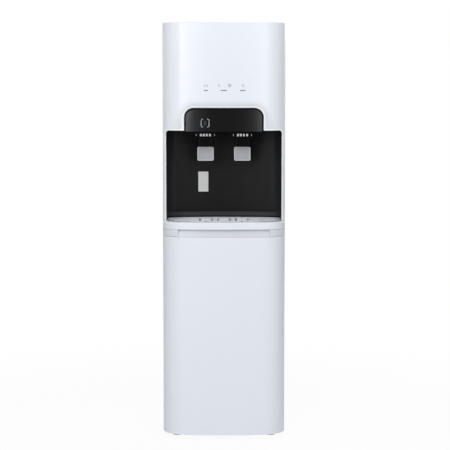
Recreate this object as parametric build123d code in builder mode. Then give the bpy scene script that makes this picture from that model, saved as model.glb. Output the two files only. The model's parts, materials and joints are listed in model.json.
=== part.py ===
from build123d import *
import math
import os

os.makedirs("parts", exist_ok=True)

# Cabinet. The origin is on the floor under the middle of the cooler, and the front faces -Y.
width = 304.0
depth = 330.0
height = 1030.0
condenser_room = 30.0
cabinet_depth = depth - condenser_room
floor_gap = 10.0
front_bow = 800.0
corner_radius = 58.0
side_seam = 75.0

# Walls and clearances
shell = 3.0
liner_wall = 2.5
sheet = 1.2
pan_sheet = 1.5
seam = 0.6
fit = 0.3
slide_gap = 0.5
pin_gap = 0.05
edge_round = 1.5
shelf_gap = 6.0

# Dispensing bay
cheek_width = 9.0
bay_floor = 523.0
bay_height = 243.0
bay_depth = 155.0
bay_sweep = 700.0
bay_corner = 25.0
opening_corner = 8.0
opening_bevel = 2.0
cheek_depth = 61.0
kick_depth = 5.5
kick_height = 35.0
kick_slope = 4.5
return_depth = 25.0

# Drip tray and grille
band_height = 18.0
band_dip = 8.0
band_lip = 0.8
band_side = 40.0
tray_height = 18.0
tray_wall = 2.5
tray_floor = 2.0
tray_round = 2.5
well_inset = 8.0
well_side_rim = 3.0
well_corner = 100.0
well_rear_rim = 4.0
ledge = 3.0
grille_thickness = 1.8
grille_recess = 0.3

# Hood, taps and levers
hood_side = 46.0
hood_rise = 55.3
hood_drop = 2.0
hood_corner = 23.0
hood_recess = 1.0
hood_depth = 105.0
tap_spacing = 92.0
tap_block_width = 52.0
tap_block_height = 19.0
tap_block_depth = 50.0
tap_front = 55.0
tap_neck_width = 40.0
tap_neck_height = 19.0
tap_neck_inset = 2.0
nozzle_radius = 9.0
nozzle_bore = 4.0
nozzle_setback = 24.0
nozzle_length = 2.0
lever_width = 12.0
lever_slot = 14.0
lever_thickness = 6.0
pivot_setback = 40.0
pivot_height = 2.0
pin_radius = 1.5
pad_width = 41.0
pad_height = 35.0
pad_drop = 3.0
pad_thickness = 4.0
pad_corner = 4.0
pad_rim = 1.8
pad_face_recess = 1.0
lever_tail = 24.0
lever_swing = 12.0

# Child lock key and indicators
key_width = 24.0
key_height = 22.0
key_rise = 19.0
key_travel = 1.5
key_corner = 3.0
key_flange = 1.5
key_proud = 0.4
lens_radius = 2.0
lens_height = 110.3
lens_places = (-44.0, -12.0, 14.0, 47.0)
lens_length = 9.0
board = 1.6

# Condenser
condenser_side = 30.0
condenser_bottom = 262.0
condenser_runs = 11
condenser_pitch = 46.0
condenser_tube = 2.5
wire_radius = 0.8
wire_pitch = 12.5
weld_gap = 0.05

# Planes and lines that the pieces share
half_width = width / 2
bay_half = half_width - cheek_width
well_half = bay_half - well_side_rim
hood_half = bay_half - hood_side
condenser_width = width - 2 * condenser_side
front_y = -depth / 2
back_y = front_y + cabinet_depth
seam_y = front_y + side_seam
cheek_y = front_y + cheek_depth
bow_centre = front_y + front_bow
sheet_inside = half_width - sheet
joggle_outer = sheet_inside - fit
joggle_inner = joggle_outer - shell
joggle_back = seam_y + 18.0
lid_depth = 12.0
panel_top = height - lid_depth - fit
rear_inside = back_y - sheet
flange_y = rear_inside - fit
bay_top = bay_floor + bay_height
bay_rear = front_y + bay_depth
tray_top = bay_floor + tray_height
bay_bottom = tray_top + slide_gap
band_bottom = bay_floor - band_height
lower_top = band_bottom - seam
hood_bottom = bay_top - hood_drop
hood_top = bay_top + hood_rise
hood_back = front_y + hood_depth
tap_front_y = front_y + tap_front
tap_back_y = tap_front_y + tap_block_depth
tap_block_bottom = hood_bottom - tap_block_height
tap_neck_bottom = tap_block_bottom - tap_neck_height
nozzle_y = tap_front_y + nozzle_setback
pivot_y = tap_front_y + pivot_setback
pivot_z = tap_block_bottom + pivot_height
pad_top = tap_neck_bottom - pad_drop
key_z = bay_top + key_rise
lens_z = bay_top + lens_height
shelf_z = bay_top + liner_wall + shelf_gap
shelf_top = shelf_z + pan_sheet


def bowed_plan(inset, half, corner, back):
    """Plan of the bowed front, moved in by inset, with round corners and cut straight across at back."""
    bow = front_bow - inset
    corner_x = half - corner
    lean = math.asin(corner_x / (bow - corner))
    corner_y = bow_centre - (bow - corner) * math.cos(lean)
    turn = (lean - math.pi / 2) / 2
    end = (bow * math.sin(lean), bow_centre - bow * math.cos(lean))
    middle = (corner_x + corner * math.cos(turn), corner_y + corner * math.sin(turn))
    with BuildSketch() as sketch:
        with BuildLine():
            ThreePointArc((-end[0], end[1]), (0, front_y + inset), end)
            for side in (-1, 1):
                ThreePointArc((side * end[0], end[1]), (side * middle[0], middle[1]), (side * half, corner_y))
                Line((side * half, corner_y), (side * half, back_y))
            Line((-half, back_y), (half, back_y))
        make_face()
        with Locations((0, back - depth / 2)):
            Rectangle(2 * width, depth, mode=Mode.INTERSECT)
    return sketch.sketch


def cabinet_plan(inset, back):
    """Plan of the cabinet front at a depth of inset inside its outer face."""
    return bowed_plan(inset, half_width - inset, corner_radius - inset, back)


def bay_plan(side_grow, rear_grow, front):
    """Plan of the bay between its side walls, its hollow rear wall and a straight front edge."""
    half = bay_half + side_grow
    sweep = bay_sweep + rear_grow
    centre = bay_rear - bay_sweep
    corner_y = centre + math.sqrt(sweep**2 - half**2)
    with BuildSketch() as sketch:
        with BuildLine():
            ThreePointArc((-half, corner_y), (0, centre + sweep), (half, corner_y))
            Line((half, corner_y), (half, front))
            Line((half, front), (-half, front))
            Line((-half, front), (-half, corner_y))
        make_face()
        fillet(sketch.vertices().group_by(Axis.Y)[-1], bay_corner + side_grow)
    return sketch.sketch


def well_plan(grow):
    """Plan of the tray's well, which the grille fills."""
    with BuildSketch() as sketch:
        add(bowed_plan(well_inset - grow, well_half + grow, well_corner + grow, bay_rear))
        rim = kick_depth + slide_gap + well_rear_rim
        add(bay_plan(well_half - bay_half + grow, grow - rim, front_y - well_inset), mode=Mode.INTERSECT)
    return sketch.sketch


def arch(grow):
    """Front view of the hood: square at its foot, with two round upper corners."""
    with BuildSketch() as sketch:
        with Locations((0, (hood_bottom - grow + hood_top + grow) / 2)):
            Rectangle(2 * (hood_half + grow), hood_top - hood_bottom + 2 * grow)
        fillet(sketch.vertices().group_by(Axis.Y)[-1], hood_corner + grow)
    return sketch.sketch


def opening():
    """Front view of the bay's opening: two round upper corners."""
    with BuildSketch() as sketch:
        with Locations((0, (bay_bottom + bay_top) / 2)):
            Rectangle(2 * bay_half, bay_top - bay_bottom)
        fillet(sketch.vertices().group_by(Axis.Y)[-1], opening_corner)
    return sketch.sketch


def on_front(point):
    """Whether a point lies on the outer face of the bowed front or of its round corners."""
    corner_x = half_width - corner_radius
    corner_y = bow_centre - math.sqrt((front_bow - corner_radius) ** 2 - corner_x**2)
    on_bow = abs(math.hypot(point.X, point.Y - bow_centre) - front_bow) < fit
    on_corner = abs(math.hypot(abs(point.X) - corner_x, point.Y - corner_y) - corner_radius) < fit
    return on_bow if abs(point.X) < corner_x else on_bow or on_corner


def front_edges(part, low, high, reach):
    """Edges of a part on the outer face of the front, between two heights and within a reach of the middle."""
    found = []
    for edge in part.edges():
        middle = edge @ 0.5
        if edge.length > shell and low <= middle.Z <= high and abs(middle.X) <= reach and on_front(middle):
            found.append(edge)
    return found


def block(x_range, y_range, z_range, mode=Mode.ADD):
    """A plain block between three pairs of limits."""
    middle = [(low + high) / 2 for low, high in (x_range, y_range, z_range)]
    size = [high - low for low, high in (x_range, y_range, z_range)]
    with Locations(tuple(middle)):
        Box(*size, mode=mode)


def across(y):
    """Upright plane that faces the front at a given y."""
    return Plane.XZ.offset(-y)


def tube(points, radius, bend):
    """A round tube along straight runs joined by bends."""
    with BuildLine() as route:
        if len(points) == 2:
            Line(*points)
        else:
            FilletPolyline(*points, radius=bend)
    with BuildSketch(Plane(points[0], z_dir=route.line % 0)) as section:
        Circle(radius)
    sweep(sections=section.sketch, path=route.line)


def cap_height(reach, radius, rise):
    """Height lost at a distance reach from the middle of a round cap of a given radius and rise."""
    ball = (radius**2 + rise**2) / (2 * rise)
    return ball - math.sqrt(ball**2 - reach**2)


# Base pan: a folded steel tray that carries the feet, the compressor and the side panels
pan_wall = 28.0
pan_front_inset = half_width - joggle_inner + fit
foot_x = half_width - 37.0
foot_front_y = front_y + 60.0
foot_back_y = back_y - 27.0
foot_radius = 15.0
foot_stud = 4.0
foot_places = [(x, y) for x in (-foot_x, foot_x) for y in (foot_front_y, foot_back_y)]
compressor_x = -25.0
compressor_y = back_y - 85.0
mount_x = 70.0
mount_y = 46.0
bolt_radius = 3.0
mount_places = [(compressor_x + x, compressor_y + y) for x in (-mount_x, mount_x) for y in (-mount_y, mount_y)]
with BuildSketch() as pan_plan:
    add(cabinet_plan(pan_front_inset, joggle_back + fit))
    with Locations((0, (joggle_back + fit + flange_y - sheet - fit) / 2)):
        Rectangle(2 * joggle_outer, flange_y - sheet - fit - joggle_back - fit)
with BuildPart() as base_pan:
    with BuildSketch(Plane.XY.offset(floor_gap)):
        add(pan_plan.sketch)
    extrude(amount=pan_wall)
    with BuildSketch(Plane.XY.offset(floor_gap + pan_sheet)):
        add(pan_plan.sketch)
        offset(amount=-pan_sheet, mode=Mode.REPLACE)
    extrude(amount=pan_wall, mode=Mode.SUBTRACT)
    with Locations(*[(x, y, floor_gap + pan_sheet) for x, y in foot_places]):
        Hole(foot_stud + fit)
    with Locations(*[(x, y, floor_gap + pan_sheet) for x, y in mount_places]):
        Hole(bolt_radius + fit)
base_pan.part.label = "base_pan"
export_step(base_pan.part, "parts/base_pan.step")

with BuildPart() as feet:
    with Locations(*[(x, y, 0) for x, y in foot_places]):
        Cone(foot_radius - 1, foot_radius, floor_gap - 2, align=(Align.CENTER, Align.CENTER, Align.MIN))
        Cylinder(foot_radius - 4, floor_gap - fit, align=(Align.CENTER, Align.CENTER, Align.MIN))
        Cylinder(foot_stud, floor_gap + pan_sheet + 6, align=(Align.CENTER, Align.CENTER, Align.MIN))
feet.part.label = "feet"
export_step(feet.part, "parts/feet.step")

# Steel side panels: a flat sheet with its rear edge folded in behind the rear panel
side_flange = 15.0
panel_bottom = 186.0
screw_radius = 2.0
screw_head = 4.0
screw_head_height = 2.2
screw_length = 8.0
screw_heights = (panel_bottom + 20.0, 460.0, 740.0, panel_top - 20.0)
screw_places = [(s * (half_width - side_flange / 2), z) for s in (-1, 1) for z in screw_heights]
for name, side in (("side_panel_left", -1), ("side_panel_right", 1)):
    with BuildPart() as side_panel:
        with BuildSketch(Plane.XY.offset(floor_gap)):
            with BuildLine():
                Polyline(
                    (side * half_width, seam_y + seam),
                    (side * half_width, flange_y),
                    (side * (half_width - side_flange), flange_y),
                    (side * (half_width - side_flange), flange_y - sheet),
                    (side * sheet_inside, flange_y - sheet),
                    (side * sheet_inside, seam_y + seam),
                    close=True,
                )
            make_face()
        extrude(amount=panel_top - floor_gap)
        folds = side_panel.edges().filter_by(Axis.Z).group_by(Axis.Y)[-1]
        fillet(folds.sort_by(Axis.X)[0 if side < 0 else -1], 1.0)
        with Locations(*[Plane.XZ * Location((x, z, -flange_y)) for x, z in screw_places if x * side > 0]):
            Cylinder(screw_radius + fit, 4 * sheet, mode=Mode.SUBTRACT)
    side_panel.part.label = name
    export_step(side_panel.part, f"parts/{name}.step")

# Finger pocket: what the band under the tray lacks, so that a hand can pull the tray
pocket_half = half_width - band_side
with BuildPart() as pocket:
    for level, inset in ((band_bottom, band_lip), (bay_floor, band_dip)):
        with BuildSketch(Plane.XY.offset(level)):
            side_y = bow_centre - math.sqrt((front_bow - inset) ** 2 - pocket_half**2)
            with BuildLine():
                ThreePointArc((-pocket_half, side_y), (0, front_y + inset), (pocket_half, side_y))
                Line((pocket_half, side_y), (pocket_half, front_y - shell))
                Line((pocket_half, front_y - shell), (-pocket_half, front_y - shell))
                Line((-pocket_half, front_y - shell), (-pocket_half, side_y))
            make_face()
    loft()
finger_pocket = pocket.part

# Front frame: the upper moulding, with the bay opening, the arch of the hood and the band under the tray
with BuildPart() as front_frame:
    with BuildSketch(Plane.XY.offset(band_bottom)):
        add(cabinet_plan(0, seam_y))
        add(cabinet_plan(shell, seam_y), mode=Mode.SUBTRACT)
        joggle_front = seam_y - 2 * shell
        with Locations(*[(s * (joggle_inner + joggle_outer) / 2, (joggle_front + joggle_back) / 2) for s in (-1, 1)]):
            Rectangle(shell, joggle_back - joggle_front)
    extrude(amount=height - band_bottom)
    with BuildSketch(Plane.XY.offset(bay_floor)):
        add(cabinet_plan(-shell, cheek_y))
    extrude(amount=tray_height + slide_gap, mode=Mode.SUBTRACT)
    with BuildSketch(across(cheek_y)):
        add(opening())
    extrude(amount=cheek_depth + shell, mode=Mode.SUBTRACT)
    return_front = cheek_y - 23.0
    for side in (-1, 1):
        inner, outer = sorted((side * bay_half, side * (bay_half + shell)))
        block((inner, outer), (return_front, cheek_y), (bay_bottom, bay_top + shell))
    with BuildSketch(Plane.XY.offset(bay_top)):
        add(cabinet_plan(shell / 2, front_y + return_depth))
    extrude(amount=shell)
    with BuildSketch(Plane.XY.offset(bay_floor - shell)):
        add(cabinet_plan(shell / 2, front_y + return_depth + 5.0))
    extrude(amount=shell)
    with BuildSketch(Plane.XY.offset(band_bottom)):
        add(cabinet_plan(shell / 2, front_y + return_depth))
        add(cabinet_plan(shell + band_dip, front_y + return_depth), mode=Mode.SUBTRACT)
    extrude(amount=band_height)
    add(finger_pocket, mode=Mode.SUBTRACT)
    with BuildSketch(across(front_y + return_depth + shell)):
        add(arch(fit))
    extrude(amount=return_depth + 3 * shell, mode=Mode.SUBTRACT)
    with BuildSketch(Plane.XY.offset(height - shell - fit)):
        add(cabinet_plan(shell, joggle_back + fit))
        with Locations((0, (seam_y + joggle_back + fit) / 2)):
            Rectangle(width, joggle_back + fit - seam_y)
    extrude(amount=2 * shell, mode=Mode.SUBTRACT)
    chamfer(front_edges(front_frame, bay_bottom + fit, hood_top + 2 * fit, bay_half + fit), opening_bevel)
    fillet(front_edges(front_frame, height - fit, height + fit, half_width), edge_round)
    with Locations(*[Plane.XZ * Location((x, lens_z, -front_y)) for x in lens_places]):
        Hole(lens_radius + fit / 2, depth=3 * shell)
front_frame.part.label = "front_frame"
export_step(front_frame.part, "parts/front_frame.step")

# Lower front panel: the same plan, with a folded-in top and two stiffening ribs
rib_depth = 10.0
rib_x = 60.0
rib_margin = 40.0
with BuildPart() as lower_front_panel:
    with BuildSketch(Plane.XY.offset(floor_gap)):
        add(cabinet_plan(0, seam_y))
        add(cabinet_plan(shell, seam_y), mode=Mode.SUBTRACT)
        with Locations(*[(s * (joggle_inner + joggle_outer) / 2, (joggle_front + joggle_back) / 2) for s in (-1, 1)]):
            Rectangle(shell, joggle_back - joggle_front)
    extrude(amount=lower_top - floor_gap)
    with BuildSketch(Plane.XY.offset(lower_top - shell)):
        add(cabinet_plan(shell / 2, front_y + return_depth + 5.0))
    extrude(amount=shell)
    for side in (-1, 1):
        block(
            (side * rib_x - shell / 2, side * rib_x + shell / 2),
            (front_y + shell + 1.0, front_y + shell + rib_depth),
            (floor_gap + pan_wall + rib_margin, lower_top - rib_margin),
        )
    fillet(front_edges(lower_front_panel, lower_top - fit, lower_top + fit, half_width), edge_round)
lower_front_panel.part.label = "lower_front_panel"
export_step(lower_front_panel.part, "parts/lower_front_panel.step")

# Top cover: drops in behind the front frame and lies over the side and rear panels
with BuildPart() as top_cover:
    with BuildSketch(Plane.XY.offset(height - shell)):
        add(cabinet_plan(shell + fit, seam_y + seam))
        with Locations((0, (seam_y + seam + back_y) / 2)):
            Rectangle(width, back_y - seam_y - seam)
    extrude(amount=shell)
    with BuildSketch(Plane.XY.offset(height - lid_depth)):
        with Locations((0, (joggle_back + fit + back_y) / 2)):
            Rectangle(width, back_y - joggle_back - fit)
    extrude(amount=lid_depth)
    with BuildSketch(Plane.XY.offset(height - lid_depth)):
        with Locations((0, (joggle_back + fit + shell + back_y - shell) / 2)):
            Rectangle(width - 2 * shell, back_y - joggle_back - fit - 2 * shell)
    extrude(amount=lid_depth - shell, mode=Mode.SUBTRACT)
    fillet(top_cover.edges().group_by(Axis.Z)[-1].filter_by(Axis.X).sort_by(Axis.Y)[-1], edge_round)
top_cover.part.label = "top_cover"
export_step(top_cover.part, "parts/top_cover.step")

# Bay liner: floor, side walls, hollow rear wall with a kick at its foot, and a ceiling open for the hood
hood_hole = hood_half + fit
with BuildPart() as kick_ring:
    with BuildSketch(Plane.XY.offset(bay_floor)):
        add(bay_plan(0, 0, cheek_y + fit))
        add(bay_plan(0, -kick_depth, front_y), mode=Mode.SUBTRACT)
    extrude(amount=kick_height)
    with BuildSketch(Plane.XY.offset(bay_floor + kick_height - kick_slope)):
        add(bay_plan(0, -kick_depth, front_y))
    extrude(amount=kick_slope, taper=-45, mode=Mode.SUBTRACT)
kick = kick_ring.part
with BuildPart() as bay_liner:
    with BuildSketch(Plane.XY.offset(bay_floor - liner_wall)):
        add(bay_plan(liner_wall, liner_wall, cheek_y + fit))
    extrude(amount=bay_height + 2 * liner_wall)
    with BuildSketch(Plane.XY.offset(bay_floor)):
        add(bay_plan(0, 0, front_y))
    extrude(amount=bay_height, mode=Mode.SUBTRACT)
    add(kick)
    for level, front in ((bay_floor - liner_wall, return_depth + 5.0), (bay_top, return_depth)):
        with BuildSketch(Plane.XY.offset(level)):
            with Locations((0, (front_y + front + fit + cheek_y + shell) / 2)):
                Rectangle(2 * (bay_half - fit), cheek_y + shell - front_y - front - fit)
            add(cabinet_plan(shell + fit, seam_y), mode=Mode.INTERSECT)
        extrude(amount=liner_wall)
    block((-hood_hole, hood_hole), (front_y, hood_back + fit), (bay_top - 1, bay_top + 5), mode=Mode.SUBTRACT)
bay_liner.part.label = "bay_liner"
export_step(bay_liner.part, "parts/bay_liner.step")

# Tap hood: a bowed arch, open at the back, with windows in its floor for the taps and in its face for the key
tap_places = {"hot": -tap_spacing / 2, "cold": tap_spacing / 2}
key_x = tap_places["hot"]
hood_wall = liner_wall
tap_stem = 15.0
with BuildPart() as tap_hood:
    with BuildSketch(across(hood_back)):
        add(arch(0))
    extrude(amount=hood_depth)
    with BuildSketch(Plane.XY.offset(hood_bottom)):
        add(cabinet_plan(hood_recess, back_y))
    extrude(amount=hood_top - hood_bottom, mode=Mode.INTERSECT)
    with BuildPart(mode=Mode.SUBTRACT):
        with BuildSketch(across(hood_back + 1)):
            add(arch(-hood_wall))
        extrude(amount=hood_depth)
        with BuildSketch(Plane.XY.offset(hood_bottom)):
            add(cabinet_plan(hood_recess + hood_wall, back_y))
        extrude(amount=hood_top - hood_bottom, mode=Mode.INTERSECT)
    for x in tap_places.values():
        block(
            (x - tap_block_width / 2 - fit, x + tap_block_width / 2 + fit),
            (tap_front_y - fit, hood_back + 1),
            (hood_bottom - 1, hood_bottom + hood_wall + 1),
            mode=Mode.SUBTRACT,
        )
    with BuildSketch(across(front_y + hood_recess + hood_wall + 10)):
        with Locations((key_x, key_z)):
            RectangleRounded(key_width + 2 * fit, key_height + 2 * fit, key_corner + fit)
    extrude(amount=20, mode=Mode.SUBTRACT)
tap_hood.part.label = "tap_hood"
export_step(tap_hood.part, "parts/tap_hood.step")

# Child lock key: its face follows the hood's bow, and a flange behind the face keeps it in
key_flange_y = front_y + hood_recess + hood_wall + 2.5
key_back = key_flange_y + key_flange + 4.0
with BuildPart() as child_lock_key:
    with BuildSketch(across(key_back)):
        with Locations((key_x, key_z)):
            RectangleRounded(key_width, key_height, key_corner)
    extrude(amount=key_back - front_y)
    with BuildSketch(Plane.XY.offset(key_z - key_height)):
        add(cabinet_plan(hood_recess - key_proud, back_y))
    extrude(amount=2 * key_height, mode=Mode.INTERSECT)
    with BuildSketch(across(key_flange_y + key_flange)):
        with Locations((key_x, key_z)):
            RectangleRounded(key_width + 3, key_height + 3, key_corner)
    extrude(amount=key_flange)
    with BuildSketch(across(key_back)):
        with Locations((key_x, key_z)):
            RectangleRounded(key_width - 4, key_height - 4, key_corner - 1)
    extrude(amount=3.0, mode=Mode.SUBTRACT)
child_lock_key.part.label = "child_lock_key"
export_step(child_lock_key.part, "parts/child_lock_key.step")

# Child lock switch: a small board with a push switch behind the key, on two legs to the hood's roof
switch_y = key_back - 3.0 + key_travel + 0.3
with BuildPart() as child_lock_switch:
    board_y = switch_y + 5.0
    block((key_x - 15, key_x + 15), (board_y, board_y + board), (key_z - 12, hood_top - hood_wall - fit))
    block((key_x - 3, key_x + 3), (board_y - 3.5, board_y), (key_z - 3, key_z + 3))
    with Locations(Plane.XZ * Location((key_x, key_z, -(board_y + switch_y) / 2))):
        Cylinder(1.75, board_y - switch_y)
child_lock_switch.part.label = "child_lock_switch"
export_step(child_lock_switch.part, "parts/child_lock_switch.step")

# Indicators: four light pipes in the frame's front, and the board with its lamps behind them
with BuildPart() as indicator_lenses:
    for x in lens_places:
        with BuildSketch(across(front_y + lens_length)):
            with Locations((x, lens_z)):
                Circle(lens_radius)
        extrude(amount=lens_length)
    with BuildSketch(Plane.XY.offset(lens_z - 2 * lens_radius)):
        add(cabinet_plan(0.1, back_y))
    extrude(amount=4 * lens_radius, mode=Mode.INTERSECT)
indicator_lenses.part.label = "indicator_lenses"
export_step(indicator_lenses.part, "parts/indicator_lenses.step")

lamp = 3.0
lamp_y = front_y + lens_length + fit
indicator_height = 18.0
with BuildPart() as indicator_board:
    low_x = min(lens_places) - 12
    high_x = max(lens_places) + 12
    z_range = (lens_z - indicator_height / 2, lens_z + indicator_height / 2)
    block((low_x, high_x), (lamp_y + lamp, lamp_y + lamp + board), z_range)
    for x in lens_places:
        block((x - lamp / 2, x + lamp / 2), (lamp_y, lamp_y + lamp), (lens_z - lamp / 2, lens_z + lamp / 2))
indicator_board.part.label = "indicator_board"
export_step(indicator_board.part, "parts/indicator_board.step")

# Taps: block, neck and nozzle with a slot behind for the lever, the lever on its pin, and its grey pad
stem_radius = 7.0
stem_y = tap_front_y + 16.0
pin_length = tap_block_width - 4.0
plate_inset = 2.0
plate_thickness = 3.0
pad_back = pivot_y - lever_thickness / 2 + 1.0 - plate_thickness / 2
pad_front = pad_back - pad_thickness
tail_top = pivot_z + lever_tail
for name, x in tap_places.items():
    with BuildPart() as tap_body:
        block(
            (x - tap_block_width / 2, x + tap_block_width / 2),
            (tap_front_y, tap_back_y),
            (tap_block_bottom, hood_bottom + hood_wall + fit),
        )
        fillet(tap_body.edges().filter_by(Axis.Z).group_by(Axis.Y)[0], 3.0)
        block(
            (x - tap_neck_width / 2, x + tap_neck_width / 2),
            (tap_front_y + tap_neck_inset, tap_back_y - tap_neck_inset),
            (tap_neck_bottom, tap_block_bottom),
        )
        neck = tap_body.edges().filter_by(Axis.Z).filter_by_position(Axis.Z, tap_neck_bottom, tap_block_bottom)
        fillet(neck.group_by(Axis.Y)[0], 6.0)
        with Locations((x, nozzle_y, tap_neck_bottom)):
            Cylinder(nozzle_radius, nozzle_length, align=(Align.CENTER, Align.CENTER, Align.MAX))
        with Locations((x, stem_y, hood_bottom + hood_wall)):
            Cylinder(stem_radius, tap_stem, align=(Align.CENTER, Align.CENTER, Align.MIN))
        with Locations((x, nozzle_y, tap_neck_bottom - nozzle_length)):
            Cylinder(nozzle_bore, 30, align=(Align.CENTER, Align.CENTER, Align.MIN), mode=Mode.SUBTRACT)
        block(
            (x - lever_slot / 2, x + lever_slot / 2),
            (pivot_y - lever_slot / 2, tap_back_y + 1),
            (tap_neck_bottom - 1, hood_bottom + hood_wall + 1),
            mode=Mode.SUBTRACT,
        )
        with Locations(Plane.YZ * Location((pivot_y, pivot_z, x))):
            Cylinder(pin_radius + pin_gap, tap_block_width + 2, mode=Mode.SUBTRACT)
    tap_body.part.label = f"{name}_tap_body"
    export_step(tap_body.part, f"parts/{name}_tap_body.step")

    with BuildPart() as pin:
        with Locations(Plane.YZ * Location((pivot_y, pivot_z, x))):
            Cylinder(pin_radius, pin_length)
    pin.part.label = f"{name}_lever_pin"
    export_step(pin.part, f"parts/{name}_lever_pin.step")

    with BuildPart() as lever:
        with BuildSketch(Plane.YZ.offset(x - lever_width / 2)):
            with Locations((pivot_y, pivot_z)):
                Circle(lever_thickness / 2 + 2.0)
            with Locations((pivot_y, (pivot_z + pad_top) / 2)):
                Rectangle(lever_thickness, pivot_z - pad_top)
            with Locations((pivot_y + 1.0, (pivot_z + tail_top) / 2)):
                Rectangle(lever_thickness - 2.0, tail_top - pivot_z)
        extrude(amount=lever_width)
        with BuildSketch(across(pad_back + plate_thickness)):
            with Locations((x, pad_top - pad_height / 2)):
                RectangleRounded(pad_width - 2 * plate_inset, pad_height - 2 * plate_inset, pad_corner)
        extrude(amount=plate_thickness)
        with BuildSketch(Plane.YZ.offset(x - lever_width / 2)):
            with BuildLine():
                Polyline(
                    (pad_back + plate_thickness - 0.5, pad_top + 1),
                    (pivot_y + lever_thickness / 2, pad_top + 1),
                    (pad_back + plate_thickness - 0.5, pad_top - 0.6 * pad_height),
                    close=True,
                )
            make_face()
        extrude(amount=lever_width)
        with Locations(Plane.YZ * Location((pivot_y, pivot_z, x))):
            Cylinder(pin_radius + pin_gap, lever_width + 2, mode=Mode.SUBTRACT)
    lever.part.label = f"{name}_lever"
    export_step(lever.part, f"parts/{name}_lever.step")

    with BuildPart() as pad:
        with BuildSketch(across(pad_back)):
            with Locations((x, pad_top - pad_height / 2)):
                RectangleRounded(pad_width, pad_height, pad_corner)
        extrude(amount=pad_thickness)
        chamfer(pad.faces().sort_by(Axis.Y)[0].edges(), 0.8)
        with BuildSketch(across(pad_front)):
            with Locations((x, pad_top - pad_height / 2)):
                RectangleRounded(pad_width - 2 * pad_rim - 1.6, pad_height - 2 * pad_rim - 1.6, pad_corner - pad_rim)
        extrude(amount=-pad_face_recess, mode=Mode.SUBTRACT)
    pad.part.label = f"{name}_lever_pad"
    export_step(pad.part, f"parts/{name}_lever_pad.step")

# Tap switches: one on each tap block, in front of the lever's tail
switch_width = 20.0
switch_depth = 6.5
switch_height = 11.0
button_size = 3.0
with BuildPart() as tap_switches:
    for x in tap_places.values():
        tail_front = pivot_y + 1.0 - (lever_thickness - 2.0) / 2
        button_back = tail_front - lever_tail * math.sin(math.radians(lever_swing)) - fit
        switch_back = button_back - button_size / 2
        seat = hood_bottom + hood_wall + 2 * fit
        block(
            (x - switch_width / 2, x + switch_width / 2),
            (switch_back - switch_depth, switch_back),
            (seat, seat + switch_height),
        )
        block(
            (x - button_size / 2, x + button_size / 2),
            (switch_back - button_size / 2, button_back),
            (seat + 1.0, seat + 1.0 + button_size),
        )
tap_switches.part.label = "tap_switches"
export_step(tap_switches.part, "parts/tap_switches.step")

# Dispensing valves: a valve block on each tap's stem, its coil towards the back
valve_bottom = hood_bottom + hood_wall + tap_stem + fit
valve_size = 24.0
with BuildPart() as dispensing_valves:
    for x in tap_places.values():
        block(
            (x - valve_size / 2, x + valve_size / 2),
            (stem_y - valve_size / 2, stem_y + valve_size / 2),
            (valve_bottom, valve_bottom + valve_size),
        )
        coil_y = stem_y + valve_size / 2
        with Locations(Plane.XZ * Location((x, valve_bottom + valve_size / 2, -coil_y - 10))):
            Cylinder(11.0, 20.0)
dispensing_valves.part.label = "dispensing_valves"
export_step(dispensing_valves.part, "parts/dispensing_valves.step")

# Drip tray: front skirt, rim, basin wall and floor, hollow from below between skirt and basin
tray_bottom = bay_floor + fit
ledge_z = tray_top - grille_recess - grille_thickness - fit
lip_back = cheek_y - slide_gap
with BuildSketch() as tray_plan:
    add(cabinet_plan(0, lip_back))
    add(bay_plan(-slide_gap, -kick_depth - slide_gap, lip_back - 10))
    add(cabinet_plan(0, back_y), mode=Mode.INTERSECT)
with BuildPart() as drip_tray:
    with BuildSketch(Plane.XY.offset(tray_bottom)):
        add(tray_plan.sketch)
    extrude(amount=tray_top - tray_bottom)
    with BuildSketch(Plane.XY.offset(tray_bottom + tray_floor)):
        add(well_plan(-ledge))
    extrude(amount=tray_height, mode=Mode.SUBTRACT)
    with BuildSketch(Plane.XY.offset(ledge_z)):
        add(well_plan(0))
    extrude(amount=tray_height, mode=Mode.SUBTRACT)
    with BuildSketch(Plane.XY.offset(tray_bottom)):
        add(cabinet_plan(tray_wall, lip_back - tray_wall))
        add(well_plan(tray_wall - ledge), mode=Mode.SUBTRACT)
    extrude(amount=ledge_z - tray_wall - tray_bottom, mode=Mode.SUBTRACT)
    fillet(front_edges(drip_tray, tray_top - fit, tray_top + fit, half_width), tray_round)
drip_tray.part.label = "drip_tray"
export_step(drip_tray.part, "parts/drip_tray.step")

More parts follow.
